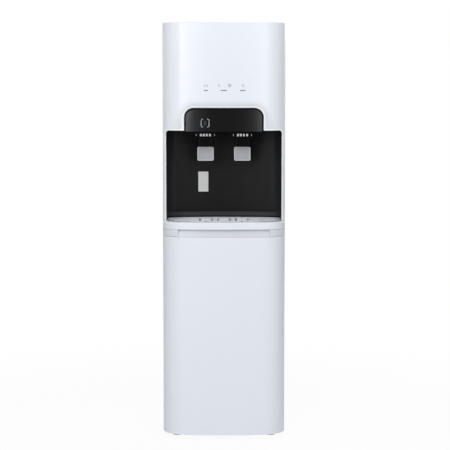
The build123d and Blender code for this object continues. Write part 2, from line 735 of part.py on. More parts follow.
# Grille: a plate with two fields of staggered slots and, in the middle, three rests with slots round them
grille_bottom = ledge_z + fit
rest_y = front_y + 81.0
rest_spacing = 45.0
rest_slot = 4.0
rest_side = 15.0
rest_side_length = 48.0
rest_end = 38.0
rest_end_length = 28.0
rest_width = 19.0
rest_length = 44.0
rest_height = 0.8
bar_width = 22.0
bar_length = 26.0
bar_slot_y = rest_y - 20.0
bar_slot_length = 9.0
field_slot_width = 3.4
field_slot_length = 9.0
field_pitch_x = 7.6
field_pitch_y = 14.0
field_first = 88.0
field_columns = 8
field_rows = 9
field_margin = 4.5
with BuildPart() as drip_grille:
    with BuildSketch(Plane.XY.offset(grille_bottom)):
        add(well_plan(-slide_gap))
        with BuildSketch(mode=Mode.SUBTRACT):
            for row in range(field_rows):
                slot_y = rest_y + (row - (field_rows - 1) / 2) * field_pitch_y
                shift = field_pitch_x / 2 if row % 2 else 0
                for column in range(field_columns):
                    slot_x = field_first + shift + column * field_pitch_x
                    with Locations((-slot_x, slot_y), (slot_x, slot_y)):
                        Rectangle(field_slot_width, field_slot_length)
            add(well_plan(-slide_gap - field_margin), mode=Mode.INTERSECT)
        for x in (-rest_spacing, 0, rest_spacing):
            with Locations((x - rest_side, rest_y), (x + rest_side, rest_y)):
                Rectangle(rest_slot, rest_side_length, mode=Mode.SUBTRACT)
        for x in (-rest_spacing, rest_spacing):
            with Locations((x, rest_y - rest_end), (x, rest_y + rest_end)):
                Rectangle(rest_slot, rest_end_length, mode=Mode.SUBTRACT)
        with Locations((0, bar_slot_y)):
            Rectangle(bar_width, bar_slot_length, mode=Mode.SUBTRACT)
    extrude(amount=grille_thickness)
    with BuildSketch(Plane.XY.offset(grille_bottom + grille_thickness)):
        with Locations((-rest_spacing, rest_y), (rest_spacing, rest_y)):
            RectangleRounded(rest_width, rest_length, rest_slot)
        with Locations((0, rest_y + (bar_length + bar_slot_length) / 2 - 16.0)):
            RectangleRounded(bar_width, bar_length, rest_slot)
    extrude(amount=rest_height)
drip_grille.part.label = "drip_grille"
export_step(drip_grille.part, "parts/drip_grille.step")

# Rear panel: sheet with two rows of vents, the switch windows and the holes of the water and drain fittings
vent_length = 60.0
vent_width = 5.0
vent_pitch = 12.0
vent_count = 6
vent_x = -60.0
vent_heights = (panel_top - 90.0, panel_bottom + 48.0)
switch_x = {"hot": half_width - 43.0, "cold": half_width - 71.0}
switch_z = height - 125.0
rocker_width = 13.0
rocker_height = 19.0
housing_wall = 1.5
inlet_x = 43.0 - half_width
inlet_z = shelf_top + 30.0
inlet_radius = 7.0
drain_x = half_width - 60.0
drain_z = panel_bottom + 36.0
drain_radius = 6.0
drain_wall = 2.8
gland_x = 43.0 - half_width
gland_z = drain_z
gland_radius = 8.0
cord_hole = 3.6
bracket_x = (condenser_width - 24.0) / 2
condenser_top = condenser_bottom + (condenser_runs - 1) * condenser_pitch
bracket_z = (condenser_bottom + 1.5 * condenser_pitch, condenser_top - 1.5 * condenser_pitch)
with BuildPart() as rear_panel:
    block((-half_width + fit, half_width - fit), (rear_inside, back_y), (panel_bottom, panel_top))
    with BuildSketch(across(rear_inside - 1)):
        with Locations(*[(vent_x, z) for z in vent_heights]):
            with GridLocations(0, vent_pitch, 1, vent_count):
                SlotOverall(vent_length, vent_width)
        for x in switch_x.values():
            with Locations((x, switch_z)):
                Rectangle(rocker_width + 2 * housing_wall + 2 * fit, rocker_height + 2 * housing_wall + 2 * fit)
        with Locations((inlet_x, inlet_z)):
            Circle(inlet_radius + fit)
        with Locations((drain_x, drain_z)):
            Circle(drain_radius + fit)
        with Locations((gland_x, gland_z)):
            Circle(gland_radius + fit)
        with Locations(*screw_places):
            Circle(screw_radius + fit)
    extrude(amount=-4, mode=Mode.SUBTRACT)
rear_panel.part.label = "rear_panel"
export_step(rear_panel.part, "parts/rear_panel.step")

with BuildPart() as rear_panel_screws:
    with Locations(*[Plane.XZ * Location((x, z, -back_y)) for x, z in screw_places]):
        Cylinder(screw_radius, screw_length, align=(Align.CENTER, Align.CENTER, Align.MIN))
        Cylinder(screw_head, screw_head_height, align=(Align.CENTER, Align.CENTER, Align.MAX))
rear_panel_screws.part.label = "rear_panel_screws"
export_step(rear_panel_screws.part, "parts/rear_panel_screws.step")

# Power switches: two housings snapped into the rear panel, each with a rocker that tips about its middle
rocker_tilt = 9.0
rocker_pivot_y = back_y - 1.0
with BuildPart() as switch_housings:
    for x in switch_x.values():
        outer = (rocker_width + 2 * housing_wall, rocker_height + 2 * housing_wall)
        with BuildSketch(across(rear_inside - 12)):
            with Locations((x, switch_z)):
                Rectangle(*outer)
        extrude(amount=-(12 + sheet + fit))
        with BuildSketch(across(back_y)):
            with Locations((x, switch_z)):
                RectangleRounded(outer[0] + 4, outer[1] + 4, 1.5)
        extrude(amount=-2.0)
        with BuildSketch(across(rocker_pivot_y - 8)):
            with Locations((x, switch_z)):
                Rectangle(rocker_width, rocker_height)
        extrude(amount=-20, mode=Mode.SUBTRACT)
switch_housings.part.label = "switch_housings"
export_step(switch_housings.part, "parts/switch_housings.step")

for name, x in switch_x.items():
    tilt = math.radians(-rocker_tilt)
    rocker_plane = Plane(
        (x - rocker_width / 2 + fit, rocker_pivot_y, switch_z),
        x_dir=(0, math.cos(tilt), math.sin(tilt)),
        z_dir=(1, 0, 0),
    )
    with BuildPart() as rocker:
        with BuildSketch(rocker_plane):
            with BuildLine():
                Polyline(
                    (-2.5, -rocker_height / 2 + 1.2),
                    (2.6, -rocker_height / 2 + 0.8),
                    (1.6, 0),
                    (2.6, rocker_height / 2 - 0.8),
                    (-2.5, rocker_height / 2 - 1.2),
                    (-4.5, 0),
                    close=True,
                )
            make_face()
        extrude(amount=rocker_width - 2 * fit)
    rocker.part.label = f"{name}_power_rocker"
    export_step(rocker.part, f"parts/{name}_power_rocker.step")

# Condenser: one tube in level runs joined by bends, with upright wires on both faces
tube_y = depth / 2 - 2 * wire_radius - weld_gap - condenser_tube
bend = condenser_pitch / 2
run_half = condenser_width / 2 - bend
with BuildPart() as condenser:
    with BuildLine() as route:
        level = condenser_top
        side = 1
        Line((-run_half - bend, tube_y, level), (run_half, tube_y, level))
        for turn in range(condenser_runs - 1):
            start = (side * run_half, tube_y, level)
            middle = (side * (run_half + bend), tube_y, level - bend)
            level -= condenser_pitch
            ThreePointArc(start, middle, (side * run_half, tube_y, level))
            last = turn == condenser_runs - 2
            reach = run_half + (bend if last else 0)
            Line((side * run_half, tube_y, level), (-side * reach, tube_y, level))
            side = -side
    with BuildSketch(Plane((-run_half - bend, tube_y, condenser_top), x_dir=(0, 1, 0), z_dir=(1, 0, 0))):
        Circle(condenser_tube)
    sweep()
    wire_count = int(2 * run_half / wire_pitch) + 1
    wire_step = 2 * run_half / (wire_count - 1)
    wire_length = condenser_top - condenser_bottom + 2 * condenser_tube
    offset_y = condenser_tube + weld_gap + wire_radius
    for y in (tube_y - offset_y, tube_y + offset_y):
        for index in range(wire_count):
            with Locations((-run_half + index * wire_step, y, (condenser_top + condenser_bottom) / 2)):
                Cylinder(wire_radius, wire_length)
condenser.part.label = "condenser"
export_step(condenser.part, "parts/condenser.step")

with BuildPart() as condenser_brackets:
    for x in (-bracket_x, bracket_x):
        for z in bracket_z:
            block((x - 6, x + 6), (back_y, back_y + 2.0), (z - 12, z + 12))
            block((x - 6, x + 6), (back_y, tube_y - offset_y - wire_radius - fit), (z - 2, z + 2))
condenser_brackets.part.label = "condenser_brackets"
export_step(condenser_brackets.part, "parts/condenser_brackets.step")

# Inlet: a push-fit bulkhead for quarter-inch tube; drain: a spout with a cap; gland: a bushing for the mains cord
tube_bore = 3.2
with BuildPart() as inlet_fitting:
    with Locations(Plane.XZ * Location((inlet_x, inlet_z, -back_y))):
        Cylinder(inlet_radius, 22, align=(Align.CENTER, Align.CENTER, Align.MIN))
        Cylinder(inlet_radius + 3, 3, align=(Align.CENTER, Align.CENTER, Align.MAX))
        Cylinder(inlet_radius, 16, align=(Align.CENTER, Align.CENTER, Align.MAX))
        Cylinder(tube_bore, 60, mode=Mode.SUBTRACT)
    with BuildSketch(across(rear_inside)):
        with Locations((inlet_x, inlet_z)):
            RegularPolygon(inlet_radius + 3, 6)
            Circle(inlet_radius - 0.5, mode=Mode.SUBTRACT)
    extrude(amount=4)
inlet_fitting.part.label = "inlet_fitting"
export_step(inlet_fitting.part, "parts/inlet_fitting.step")

with BuildPart() as drain_spout:
    with Locations(Plane.XZ * Location((drain_x, drain_z, -back_y))):
        Cylinder(drain_radius, 14, align=(Align.CENTER, Align.CENTER, Align.MIN))
        Cylinder(drain_radius + 3, 2.5, align=(Align.CENTER, Align.CENTER, Align.MAX))
        Cylinder(drain_radius, 14, align=(Align.CENTER, Align.CENTER, Align.MAX))
        Cylinder(drain_radius - drain_wall, 60, mode=Mode.SUBTRACT)
drain_spout.part.label = "drain_spout"
export_step(drain_spout.part, "parts/drain_spout.step")

cap_travel = 14.0
with BuildPart() as drain_cap:
    cap_y = back_y + 2.5 + fit
    with Locations(Plane.XZ * Location((drain_x, drain_z, -cap_y))):
        Cylinder(drain_radius + 2.3, 14, align=(Align.CENTER, Align.CENTER, Align.MAX))
    fillet(drain_cap.edges().group_by(Axis.Y)[-1], 1.5)
    with Locations(Plane.XZ * Location((drain_x, drain_z, -cap_y))):
        Cylinder(drain_radius + fit, 14 - 2.0, align=(Align.CENTER, Align.CENTER, Align.MAX), mode=Mode.SUBTRACT)
drain_cap.part.label = "drain_cap"
export_step(drain_cap.part, "parts/drain_cap.step")

with BuildPart() as cord_gland:
    with Locations(Plane.XZ * Location((gland_x, gland_z, -back_y))):
        Cylinder(gland_radius, 10, align=(Align.CENTER, Align.CENTER, Align.MIN))
        Cylinder(gland_radius + 3, 3, align=(Align.CENTER, Align.CENTER, Align.MAX))
        Cone(gland_radius, gland_radius - 2.5, 16, align=(Align.CENTER, Align.CENTER, Align.MAX))
        Cylinder(cord_hole, 60, mode=Mode.SUBTRACT)
cord_gland.part.label = "cord_gland"
export_step(cord_gland.part, "parts/cord_gland.step")

# Tank shelf: steel, behind the hood and over the bay, with its edges folded up against the side panels
shelf_front = hood_back + 5.0
shelf_flange = 16.0
water_radius = 3.0
suction_radius = 4.0
capillary_radius = 1.5
rise_side = half_width - 43.0
line_side = half_width - 17.0
line_y = back_y - 23.0
filter_rise = (-rise_side, -8.0)
tank_rise = (rise_side, -8.0)
hot_rise = (16.0 - rise_side, -2.0)
suction_rise = (-line_side, line_y)
capillary_rise = (line_side, line_y)
shelf_holes = [(*place, water_radius + 1.0) for place in (filter_rise, tank_rise, hot_rise)]
shelf_holes += [(*suction_rise, suction_radius + 1.0), (*capillary_rise, capillary_radius + 1.0)]
with BuildPart() as tank_shelf:
    block((-joggle_outer, joggle_outer), (shelf_front, flange_y - sheet - fit), (shelf_z, shelf_z + shelf_flange))
    block(
        (-joggle_outer + pan_sheet, joggle_outer - pan_sheet),
        (shelf_front - 1, flange_y - sheet - fit - pan_sheet),
        (shelf_z + pan_sheet, shelf_z + shelf_flange + 1),
        mode=Mode.SUBTRACT,
    )
    for x, y, radius in shelf_holes:
        with Locations((x, y, shelf_z)):
            Cylinder(radius, 4 * pan_sheet, mode=Mode.SUBTRACT)
tank_shelf.part.label = "tank_shelf"
export_step(tank_shelf.part, "parts/tank_shelf.step")

# Cold side: insulated tank with its evaporator jacket and lid
tank_x = 0.0
tank_y = (hood_back + rear_inside) / 2
tank_gap = 5.0
tank_lane = 12.0
lid_height = 6.0
jacket_wall = 5.0
foam_wall = 14.0
foam_floor = 16.0
tube_headroom = 42.0
cold_bottom = shelf_top + fit + foam_floor + fit
foam_radius = min((rear_inside - hood_back) / 2, rise_side - tank_lane) - tank_gap
cold_radius = foam_radius - jacket_wall - foam_wall - 2 * fit
cold_height = height - tube_headroom - lid_height - cold_bottom
jacket_height = 0.68 * cold_height
jacket_rise = 0.13 * cold_height
outlet_turn = math.radians(-45.0)
outlet_reach = foam_radius + 4.0
outlet_z = cold_bottom + 14.0
outlet_end = (tank_x + outlet_reach * math.cos(outlet_turn), tank_y + outlet_reach * math.sin(outlet_turn), outlet_z)
outlet_plane = Plane((tank_x, tank_y, outlet_z), z_dir=(math.cos(outlet_turn), math.sin(outlet_turn), 0))
outlet_radius = 4.0
with BuildPart() as cold_tank_insulation:
    with Locations((tank_x, tank_y, shelf_top + fit)):
        Cylinder(
            foam_radius,
            foam_floor + cold_height,
            align=(Align.CENTER, Align.CENTER, Align.MIN),
        )
    with Locations((tank_x, tank_y, shelf_top + fit + foam_floor)):
        Cylinder(
            cold_radius + jacket_wall + 2 * fit,
            cold_height,
            align=(Align.CENTER, Align.CENTER, Align.MIN),
            mode=Mode.SUBTRACT,
        )
    with Locations(outlet_plane * Location((0, 0, cold_radius))):
        Cylinder(outlet_radius + fit, 60, align=(Align.CENTER, Align.CENTER, Align.MIN), mode=Mode.SUBTRACT)
cold_tank_insulation.part.label = "cold_tank_insulation"
export_step(cold_tank_insulation.part, "parts/cold_tank_insulation.step")

with BuildPart() as cold_tank:
    with BuildSketch(Plane.XZ.offset(-tank_y)):
        with BuildLine():
            base = cold_bottom
            crown = cold_bottom + cold_height - 4.0
            Polyline((0, base), (cold_radius - 8, base), (cold_radius, base + 8), (cold_radius, crown))
            Polyline((cold_radius, crown), (cold_radius - 1, crown), (cold_radius - 1, base + 8.5))
            Polyline((cold_radius - 1, base + 8.5), (cold_radius - 8.5, base + 1), (0, base + 1), (0, base))
        make_face()
    revolve(axis=Axis((tank_x, tank_y, 0), (0, 0, 1)))
    with Locations(outlet_plane * Location((0, 0, cold_radius - 0.8))):
        Cylinder(outlet_radius, outlet_reach - cold_radius + 0.8, align=(Align.CENTER, Align.CENTER, Align.MIN))
cold_tank.part.label = "cold_tank"
export_step(cold_tank.part, "parts/cold_tank.step")

with BuildPart() as evaporator_jacket:
    with Locations((tank_x, tank_y, cold_bottom + jacket_rise)):
        Cylinder(cold_radius + jacket_wall, jacket_height, align=(Align.CENTER, Align.CENTER, Align.MIN))
        Cylinder(
            cold_radius + fit,
            jacket_height,
            align=(Align.CENTER, Align.CENTER, Align.MIN),
            mode=Mode.SUBTRACT,
        )
evaporator_jacket.part.label = "evaporator_jacket"
export_step(evaporator_jacket.part, "parts/evaporator_jacket.step")

with BuildPart() as cold_tank_lid:
    lid_bottom = shelf_top + fit + foam_floor + cold_height + fit
    with Locations((tank_x, tank_y, lid_bottom)):
        Cylinder(foam_radius, lid_height, align=(Align.CENTER, Align.CENTER, Align.MIN))
        Cylinder(cold_radius - shell, lid_height, align=(Align.CENTER, Align.CENTER, Align.MAX))
cold_tank_lid.part.label = "cold_tank_lid"
export_step(cold_tank_lid.part, "parts/cold_tank_lid.step")

# Hot side: domed tank on a bracket behind the bay, with its band heater and two thermostats
hot_room = rear_inside - bay_rear - liner_wall
hot_gap = 9.65
hot_shift = 1.15
hot_height = 180.0
lug_width = 16.0
lug_depth = 9.0
hot_radius = hot_room / 2 - lug_depth - hot_gap
hot_y = rear_inside - hot_room / 2 - hot_shift
hot_bottom = bay_floor + 24.0
hot_wall = 1.2
dome = 14.0
spigot = 6.0
spigot_length = 10.0


def domed_profile(x, low, high, radius, rise):
    """Half of an upright section with a round cap at each end, to be turned about its straight side."""
    drop = cap_height(radius / 2, radius, rise)
    with BuildSketch() as sketch:
        with BuildLine():
            Line((x, low), (x, high))
            ThreePointArc((x, high), (x + radius / 2, high - drop), (x + radius, high - rise))
            Line((x + radius, high - rise), (x + radius, low + rise))
            ThreePointArc((x + radius, low + rise), (x + radius / 2, low + drop), (x, low))
        make_face()
    return sketch.sketch


with BuildPart() as hot_tank:
    with BuildSketch(across(hot_y)):
        add(domed_profile(0, hot_bottom, hot_bottom + hot_height, hot_radius, dome))
    revolve(axis=Axis((0, hot_y, 0), (0, 0, 1)))
    with Locations((0, hot_y, hot_bottom + hot_height / 2)):
        Cylinder(spigot, hot_height + 2 * spigot_length)
    with BuildSketch(across(hot_y)):
        inner = (hot_bottom + hot_wall, hot_bottom + hot_height - hot_wall)
        add(domed_profile(0, *inner, hot_radius - hot_wall, dome - hot_wall))
    revolve(axis=Axis((0, hot_y, 0), (0, 0, 1)), mode=Mode.SUBTRACT)
    with Locations((0, hot_y, hot_bottom + hot_height / 2)):
        Cylinder(spigot - hot_wall, 2 * hot_height, mode=Mode.SUBTRACT)
hot_tank.part.label = "hot_tank"
export_step(hot_tank.part, "parts/hot_tank.step")

with BuildPart() as hot_tank_bracket:
    bracket_top = hot_bottom + dome - fit
    with BuildSketch(Plane.XY.offset(bracket_top - 18)):
        with Locations((0, (hot_y + rear_inside - fit) / 2)):
            Rectangle(2 * hot_radius + 10, rear_inside - fit - hot_y)
        with Locations((0, hot_y)):
            Circle(hot_radius + 5)
            Circle(hot_radius - 9, mode=Mode.SUBTRACT)
    extrude(amount=pan_sheet)
    with BuildSketch(Plane.XY.offset(bracket_top - 18)):
        with Locations((0, hot_y)):
            Circle(hot_radius + 2.5)
            Circle(hot_radius + fit, mode=Mode.SUBTRACT)
    extrude(amount=34)
    block(
        (-hot_radius - 5, hot_radius + 5),
        (rear_inside - fit - pan_sheet, rear_inside - fit),
        (bracket_top - 18, bracket_top + 22),
    )
hot_tank_bracket.part.label = "hot_tank_bracket"
export_step(hot_tank_bracket.part, "parts/hot_tank_bracket.step")

band_z = hot_bottom + hot_height / 3
band_width = 45.0
band_wall = 4.0
band_gap = 0.2
with BuildPart() as band_heater:
    with Locations((0, hot_y, band_z)):
        Cylinder(hot_radius + band_wall, band_width, align=(Align.CENTER, Align.CENTER, Align.MIN))
    block(
        (-lug_width / 2, lug_width / 2),
        (hot_y - hot_radius - band_wall + 1 - lug_depth, hot_y - hot_radius),
        (band_z + 2, band_z + band_width - 2),
    )
    with Locations((0, hot_y, band_z)):
        Cylinder(hot_radius + band_gap, band_width, align=(Align.CENTER, Align.CENTER, Align.MIN), mode=Mode.SUBTRACT)
band_heater.part.label = "band_heater"
export_step(band_heater.part, "parts/band_heater.step")

with BuildPart() as thermostats:
    for z in (hot_bottom + 122, hot_bottom + 146):
        with Locations(Plane.YZ * Location((hot_y, z, hot_radius + 0.2))):
            Cylinder(8, 7, align=(Align.CENTER, Align.CENTER, Align.MIN))
            Cylinder(4, 14, align=(Align.CENTER, Align.CENTER, Align.MIN))
thermostats.part.label = "thermostats"
export_step(thermostats.part, "parts/thermostats.step")

# Compressor: domed can on a foot plate, with grommets, bolts and its start relay
can_radius = 58.0
can_height = 140.0
can_dome = 36.0
pan_top = floor_gap + pan_sheet
grommet_height = 14.0
plate_z = pan_top + grommet_height + fit
can_bottom = plate_z + 3.0 - 1.0
with BuildPart() as compressor:
    with BuildSketch(Plane.XZ.offset(-compressor_y)):
        with BuildLine():
            top = can_bottom + can_height
            Line((compressor_x, can_bottom), (compressor_x, top))
            drop = cap_height(can_radius / 2, can_radius, can_dome)
            ThreePointArc(
                (compressor_x, top),
                (compressor_x + can_radius / 2, top - drop),
                (compressor_x + can_radius, top - can_dome),
            )
            Line((compressor_x + can_radius, top - can_dome), (compressor_x + can_radius, can_bottom + 14))
            Line((compressor_x + can_radius, can_bottom + 14), (compressor_x + can_radius - 14, can_bottom))
            Line((compressor_x + can_radius - 14, can_bottom), (compressor_x, can_bottom))
        make_face()
    revolve(axis=Axis((compressor_x, compressor_y, 0), (0, 0, 1)))
    with BuildSketch(Plane.XY.offset(plate_z)):
        with Locations((compressor_x, compressor_y)):
            RectangleRounded(2 * mount_x + 26, 2 * mount_y + 26, 10)
            with GridLocations(2 * mount_x, 2 * mount_y, 2, 2):
                Circle(bolt_radius + 1, mode=Mode.SUBTRACT)
    extrude(amount=3)
    with Locations((compressor_x, compressor_y, can_bottom + can_height * 0.55)):
        Torus(can_radius - 1.5, 3)
compressor.part.label = "compressor"
export_step(compressor.part, "parts/compressor.step")

with BuildPart() as compressor_grommets:
    with Locations(*[(x, y, pan_top) for x, y in mount_places]):
        Cylinder(9, grommet_height, align=(Align.CENTER, Align.CENTER, Align.MIN))
        Cylinder(bolt_radius + fit, grommet_height, align=(Align.CENTER, Align.CENTER, Align.MIN), mode=Mode.SUBTRACT)
compressor_grommets.part.label = "compressor_grommets"
export_step(compressor_grommets.part, "parts/compressor_grommets.step")

with BuildPart() as compressor_bolts:
    with Locations(*[(x, y, floor_gap - 2) for x, y in mount_places]):
        Cylinder(bolt_radius, grommet_height + 14, align=(Align.CENTER, Align.CENTER, Align.MIN))
    with BuildSketch(Plane.XY.offset(plate_z + 3 + fit)):
        with Locations(*mount_places):
            RegularPolygon(6, 6)
    extrude(amount=5)
compressor_bolts.part.label = "compressor_bolts"
export_step(compressor_bolts.part, "parts/compressor_bolts.step")

with BuildPart() as start_relay_box:
    relay_x = compressor_x + can_radius + 0.4
    block((relay_x, relay_x + 26), (compressor_y - 22, compressor_y + 22), (can_bottom + 20, can_bottom + 68))
    fillet(start_relay_box.edges().filter_by(Axis.Z).group_by(Axis.X)[-1], 4)
start_relay_box.part.label = "start_relay_box"
export_step(start_relay_box.part, "parts/start_relay_box.step")

# Filter drier: a copper can with drawn-down ends, upright behind the compressor
drier_x = half_width - 55.0
drier_y = line_y
drier_z = 115.0
drier_radius = 9.0
drier_body = 74.0
drier_neck = 3.2
drier_taper = 8.0
with BuildPart() as filter_drier:
    with Locations((drier_x, drier_y, drier_z)):
        Cylinder(drier_radius, drier_body)
    with Locations((drier_x, drier_y, drier_z + drier_body / 2)):
        Cone(drier_radius, drier_neck, drier_taper, align=(Align.CENTER, Align.CENTER, Align.MIN))
    with Locations((drier_x, drier_y, drier_z - drier_body / 2)):
        Cone(drier_neck, drier_radius, drier_taper, align=(Align.CENTER, Align.CENTER, Align.MAX))
filter_drier.part.label = "filter_drier"
export_step(filter_drier.part, "parts/filter_drier.step")

# Refrigerant lines: discharge to the condenser, condenser to drier, capillary, and suction back to the can
can_back = compressor_y + can_radius
riser_x = half_width - 15.0
outlet_x = half_width - 18.0
drier_top = drier_z + drier_body / 2 + drier_taper
drier_foot = drier_z - drier_body / 2 - drier_taper
suction_z = 130.0
discharge_z = 80.0
evaporator_z = cold_bottom + 0.37 * cold_height


def foam_side(place, gap):
    """The point on the foam's side that faces an upright tube, a gap outside it."""
    x, y = place[0] - tank_x, place[1] - tank_y
    share = (foam_radius + gap) / math.hypot(x, y)
    return (tank_x + x * share, tank_y + y * share)


with BuildPart() as refrigerant_lines:
    tube(
        [
            (compressor_x, can_back + fit, discharge_z),
            (compressor_x, can_back + 18, discharge_z),
            (-riser_x, back_y + 8, discharge_z),
            (-riser_x, tube_y, suction_z + 20),
            (-riser_x, tube_y, condenser_top),
            (-run_half - bend - fit, tube_y, condenser_top),
        ],
        condenser_tube,
        8.0,
    )
    tube(
        [
            (run_half + bend + fit, tube_y, condenser_bottom),
            (outlet_x, tube_y, condenser_bottom),
            (outlet_x, tube_y, drier_top + 15),
            (drier_x, drier_y, drier_top + 15),
            (drier_x, drier_y, drier_top + fit),
        ],
        condenser_tube,
        6.0,
    )
    tube(
        [
            (drier_x, drier_y, drier_foot - fit),
            (drier_x, drier_y, drier_foot - 18),
            (*capillary_rise, drier_foot - 18),
            (*capillary_rise, evaporator_z + 20),
            (*foam_side(capillary_rise, fit), evaporator_z + 20),
        ],
        capillary_radius,
        8.0,
    )
    tube(
        [
            (compressor_x - can_radius - fit, compressor_y, suction_z),
            (compressor_x - can_radius - 24, compressor_y, suction_z),
            (*suction_rise, suction_z),
            (*suction_rise, evaporator_z),
            (*foam_side(suction_rise, fit), evaporator_z),
        ],
        suction_radius,
        12.0,
    )
refrigerant_lines.part.label = "refrigerant_lines"
export_step(refrigerant_lines.part, "parts/refrigerant_lines.step")

# Filters: four cartridges on one clip rail behind the lower front panel
filter_y = front_y + 65.0
filter_radius = 26.0
filter_bottom = 160.0
filter_length = 250.0
filter_cap = 22.0
filter_neck = 12.0
filter_pitch = 70.0
filter_names = ("sediment_filter", "carbon_filter", "membrane_filter", "polishing_filter")
filter_xs = [(index - 1.5) * filter_pitch for index in range(len(filter_names))]
filter_top = filter_bottom + filter_length
for name, x in zip(filter_names, filter_xs):
    with BuildPart() as cartridge:
        with Locations((x, filter_y, filter_bottom)):
            Cylinder(filter_radius, filter_length, align=(Align.CENTER, Align.CENTER, Align.MIN))
        for low in (filter_bottom, filter_top - filter_cap):
            with Locations((x, filter_y, low)):
                Cylinder(filter_radius + 1.5, filter_cap, align=(Align.CENTER, Align.CENTER, Align.MIN))
        fillet(cartridge.edges().filter_by(GeomType.CIRCLE).group_by(Axis.Z)[0], 5)
        fillet(cartridge.edges().filter_by(GeomType.CIRCLE).group_by(Axis.Z)[-1], 5)
        with Locations((x, filter_y, (filter_bottom + filter_top) / 2)):
            Cylinder(8, filter_length + 2 * filter_neck)
    cartridge.part.label = name
    export_step(cartridge.part, f"parts/{name}.step")

clip_height = 26.0
clip_wall = 2.0
clip_foot = 14.0
rail_height = 40.0
rail_y = filter_y + filter_radius + 2 * clip_wall
rail_z = (filter_bottom + filter_top) / 2
with BuildPart() as filter_bracket:
    block((-joggle_outer, joggle_outer), (rail_y, rail_y + pan_sheet), (rail_z - rail_height / 2, rail_z + rail_height / 2))
    with BuildSketch(Plane.XY.offset(rail_z - clip_height / 2)):
        for x in filter_xs:
            with Locations((x, filter_y)):
                Circle(filter_radius + fit + clip_wall)
            with Locations((x, (filter_y + filter_radius + rail_y) / 2)):
                Rectangle(clip_foot, rail_y - filter_y - filter_radius)
        with Locations(*[(x, filter_y) for x in filter_xs]):
            Circle(filter_radius + fit, mode=Mode.SUBTRACT)
        with Locations(*[(x, filter_y - filter_radius) for x in filter_xs]):
            Rectangle(1.4 * filter_radius, 1.2 * filter_radius, mode=Mode.SUBTRACT)
    extrude(amount=clip_height)
filter_bracket.part.label = "filter_bracket"
export_step(filter_bracket.part, "parts/filter_bracket.step")

# Inlet valve: behind the inlet fitting, on a foot that stands on the shelf
valve_back = back_y - 40.0
valve_depth = 30.0
with BuildPart() as inlet_valve:
    block((inlet_x - 13, inlet_x + 13), (valve_back - valve_depth, valve_back), (inlet_z - 12, inlet_z + 12))
    block(
        (inlet_x - 9, inlet_x + 9),
        (valve_back - valve_depth + 2, valve_back - 2),
        (shelf_top + fit, inlet_z - 12),
    )
    with Locations((inlet_x, valve_back - valve_depth / 2, inlet_z + 12)):
        Cylinder(11, 24, align=(Align.CENTER, Align.CENTER, Align.MIN))
inlet_valve.part.label = "inlet_valve"
export_step(inlet_valve.part, "parts/inlet_valve.step")

# Water tubes: inlet, filter links, feed to the tank, cold and hot lines to the taps, and the drain
neck_top = filter_top + filter_neck + fit
neck_foot = filter_bottom - filter_neck - fit
filter_lead = 46.0
link_drop = 24.0
port_z = valve_bottom + valve_size / 2
port_reach = tap_spacing / 2 + valve_size / 2 + fit
lid_top = lid_bottom + lid_height
side_lane = 80.0
hot_top = hot_bottom + hot_height + spigot_length
hot_foot = hot_bottom - spigot_length
with BuildPart() as water_tubes:
    tube([(inlet_x, back_y - 22 - fit, inlet_z), (inlet_x, valve_back + fit, inlet_z)], water_radius, 0)
    tube(
        [
            (inlet_x, valve_back - valve_depth - fit, inlet_z),
            (*filter_rise, inlet_z),
            (*filter_rise, neck_top + filter_lead),
            (filter_xs[0], filter_y, neck_top + filter_lead),
            (filter_xs[0], filter_y, neck_top),
        ],
        water_radius,
        14.0,
    )
    for first, second, start, level in (
        (0, 1, neck_foot, neck_foot - link_drop),
        (1, 2, neck_top, neck_top + link_drop),
        (2, 3, neck_foot, neck_foot - link_drop),
    ):
        tube(
            [
                (filter_xs[first], filter_y, start),
                (filter_xs[first], filter_y, level),
                (filter_xs[second], filter_y, level),
                (filter_xs[second], filter_y, start),
            ],
            water_radius,
            14.0,
        )
    tube(
        [
            (filter_xs[3], filter_y, neck_top),
            (filter_xs[3], filter_y, neck_top + filter_lead),
            (*tank_rise, neck_top + filter_lead),
            (*tank_rise, lid_top + 16),
            (tank_x + 45, tank_y, lid_top + 16),
            (tank_x + 45, tank_y, lid_top + fit),
        ],
        water_radius,
        12.0,
    )
    tube(
        [
            outlet_end,
            (outlet_end[0] + 12, outlet_end[1] - 12, outlet_z),
            (side_lane, stem_y, port_z),
            (port_reach, stem_y, port_z),
        ],
        water_radius,
        7.0,
    )
    tube(
        [
            (0, hot_y, hot_top + fit),
            (0, hot_y, hot_top + 18),
            (*hot_rise, hot_top + 18),
            (*hot_rise, outlet_z),
            (-side_lane - 4, hood_back + 12, outlet_z),
            (-side_lane, stem_y, port_z),
            (-port_reach, stem_y, port_z),
        ],
        water_radius,
        7.0,
    )
    tube(
        [
            (0, hot_y, hot_foot - fit),
            (0, hot_y, drain_z + 40),
            (drain_x, hot_y, drain_z),
            (drain_x, back_y - 4.0, drain_z),
        ],
        water_radius,
        14.0,
    )
water_tubes.part.label = "water_tubes"
export_step(water_tubes.part, "parts/water_tubes.step")

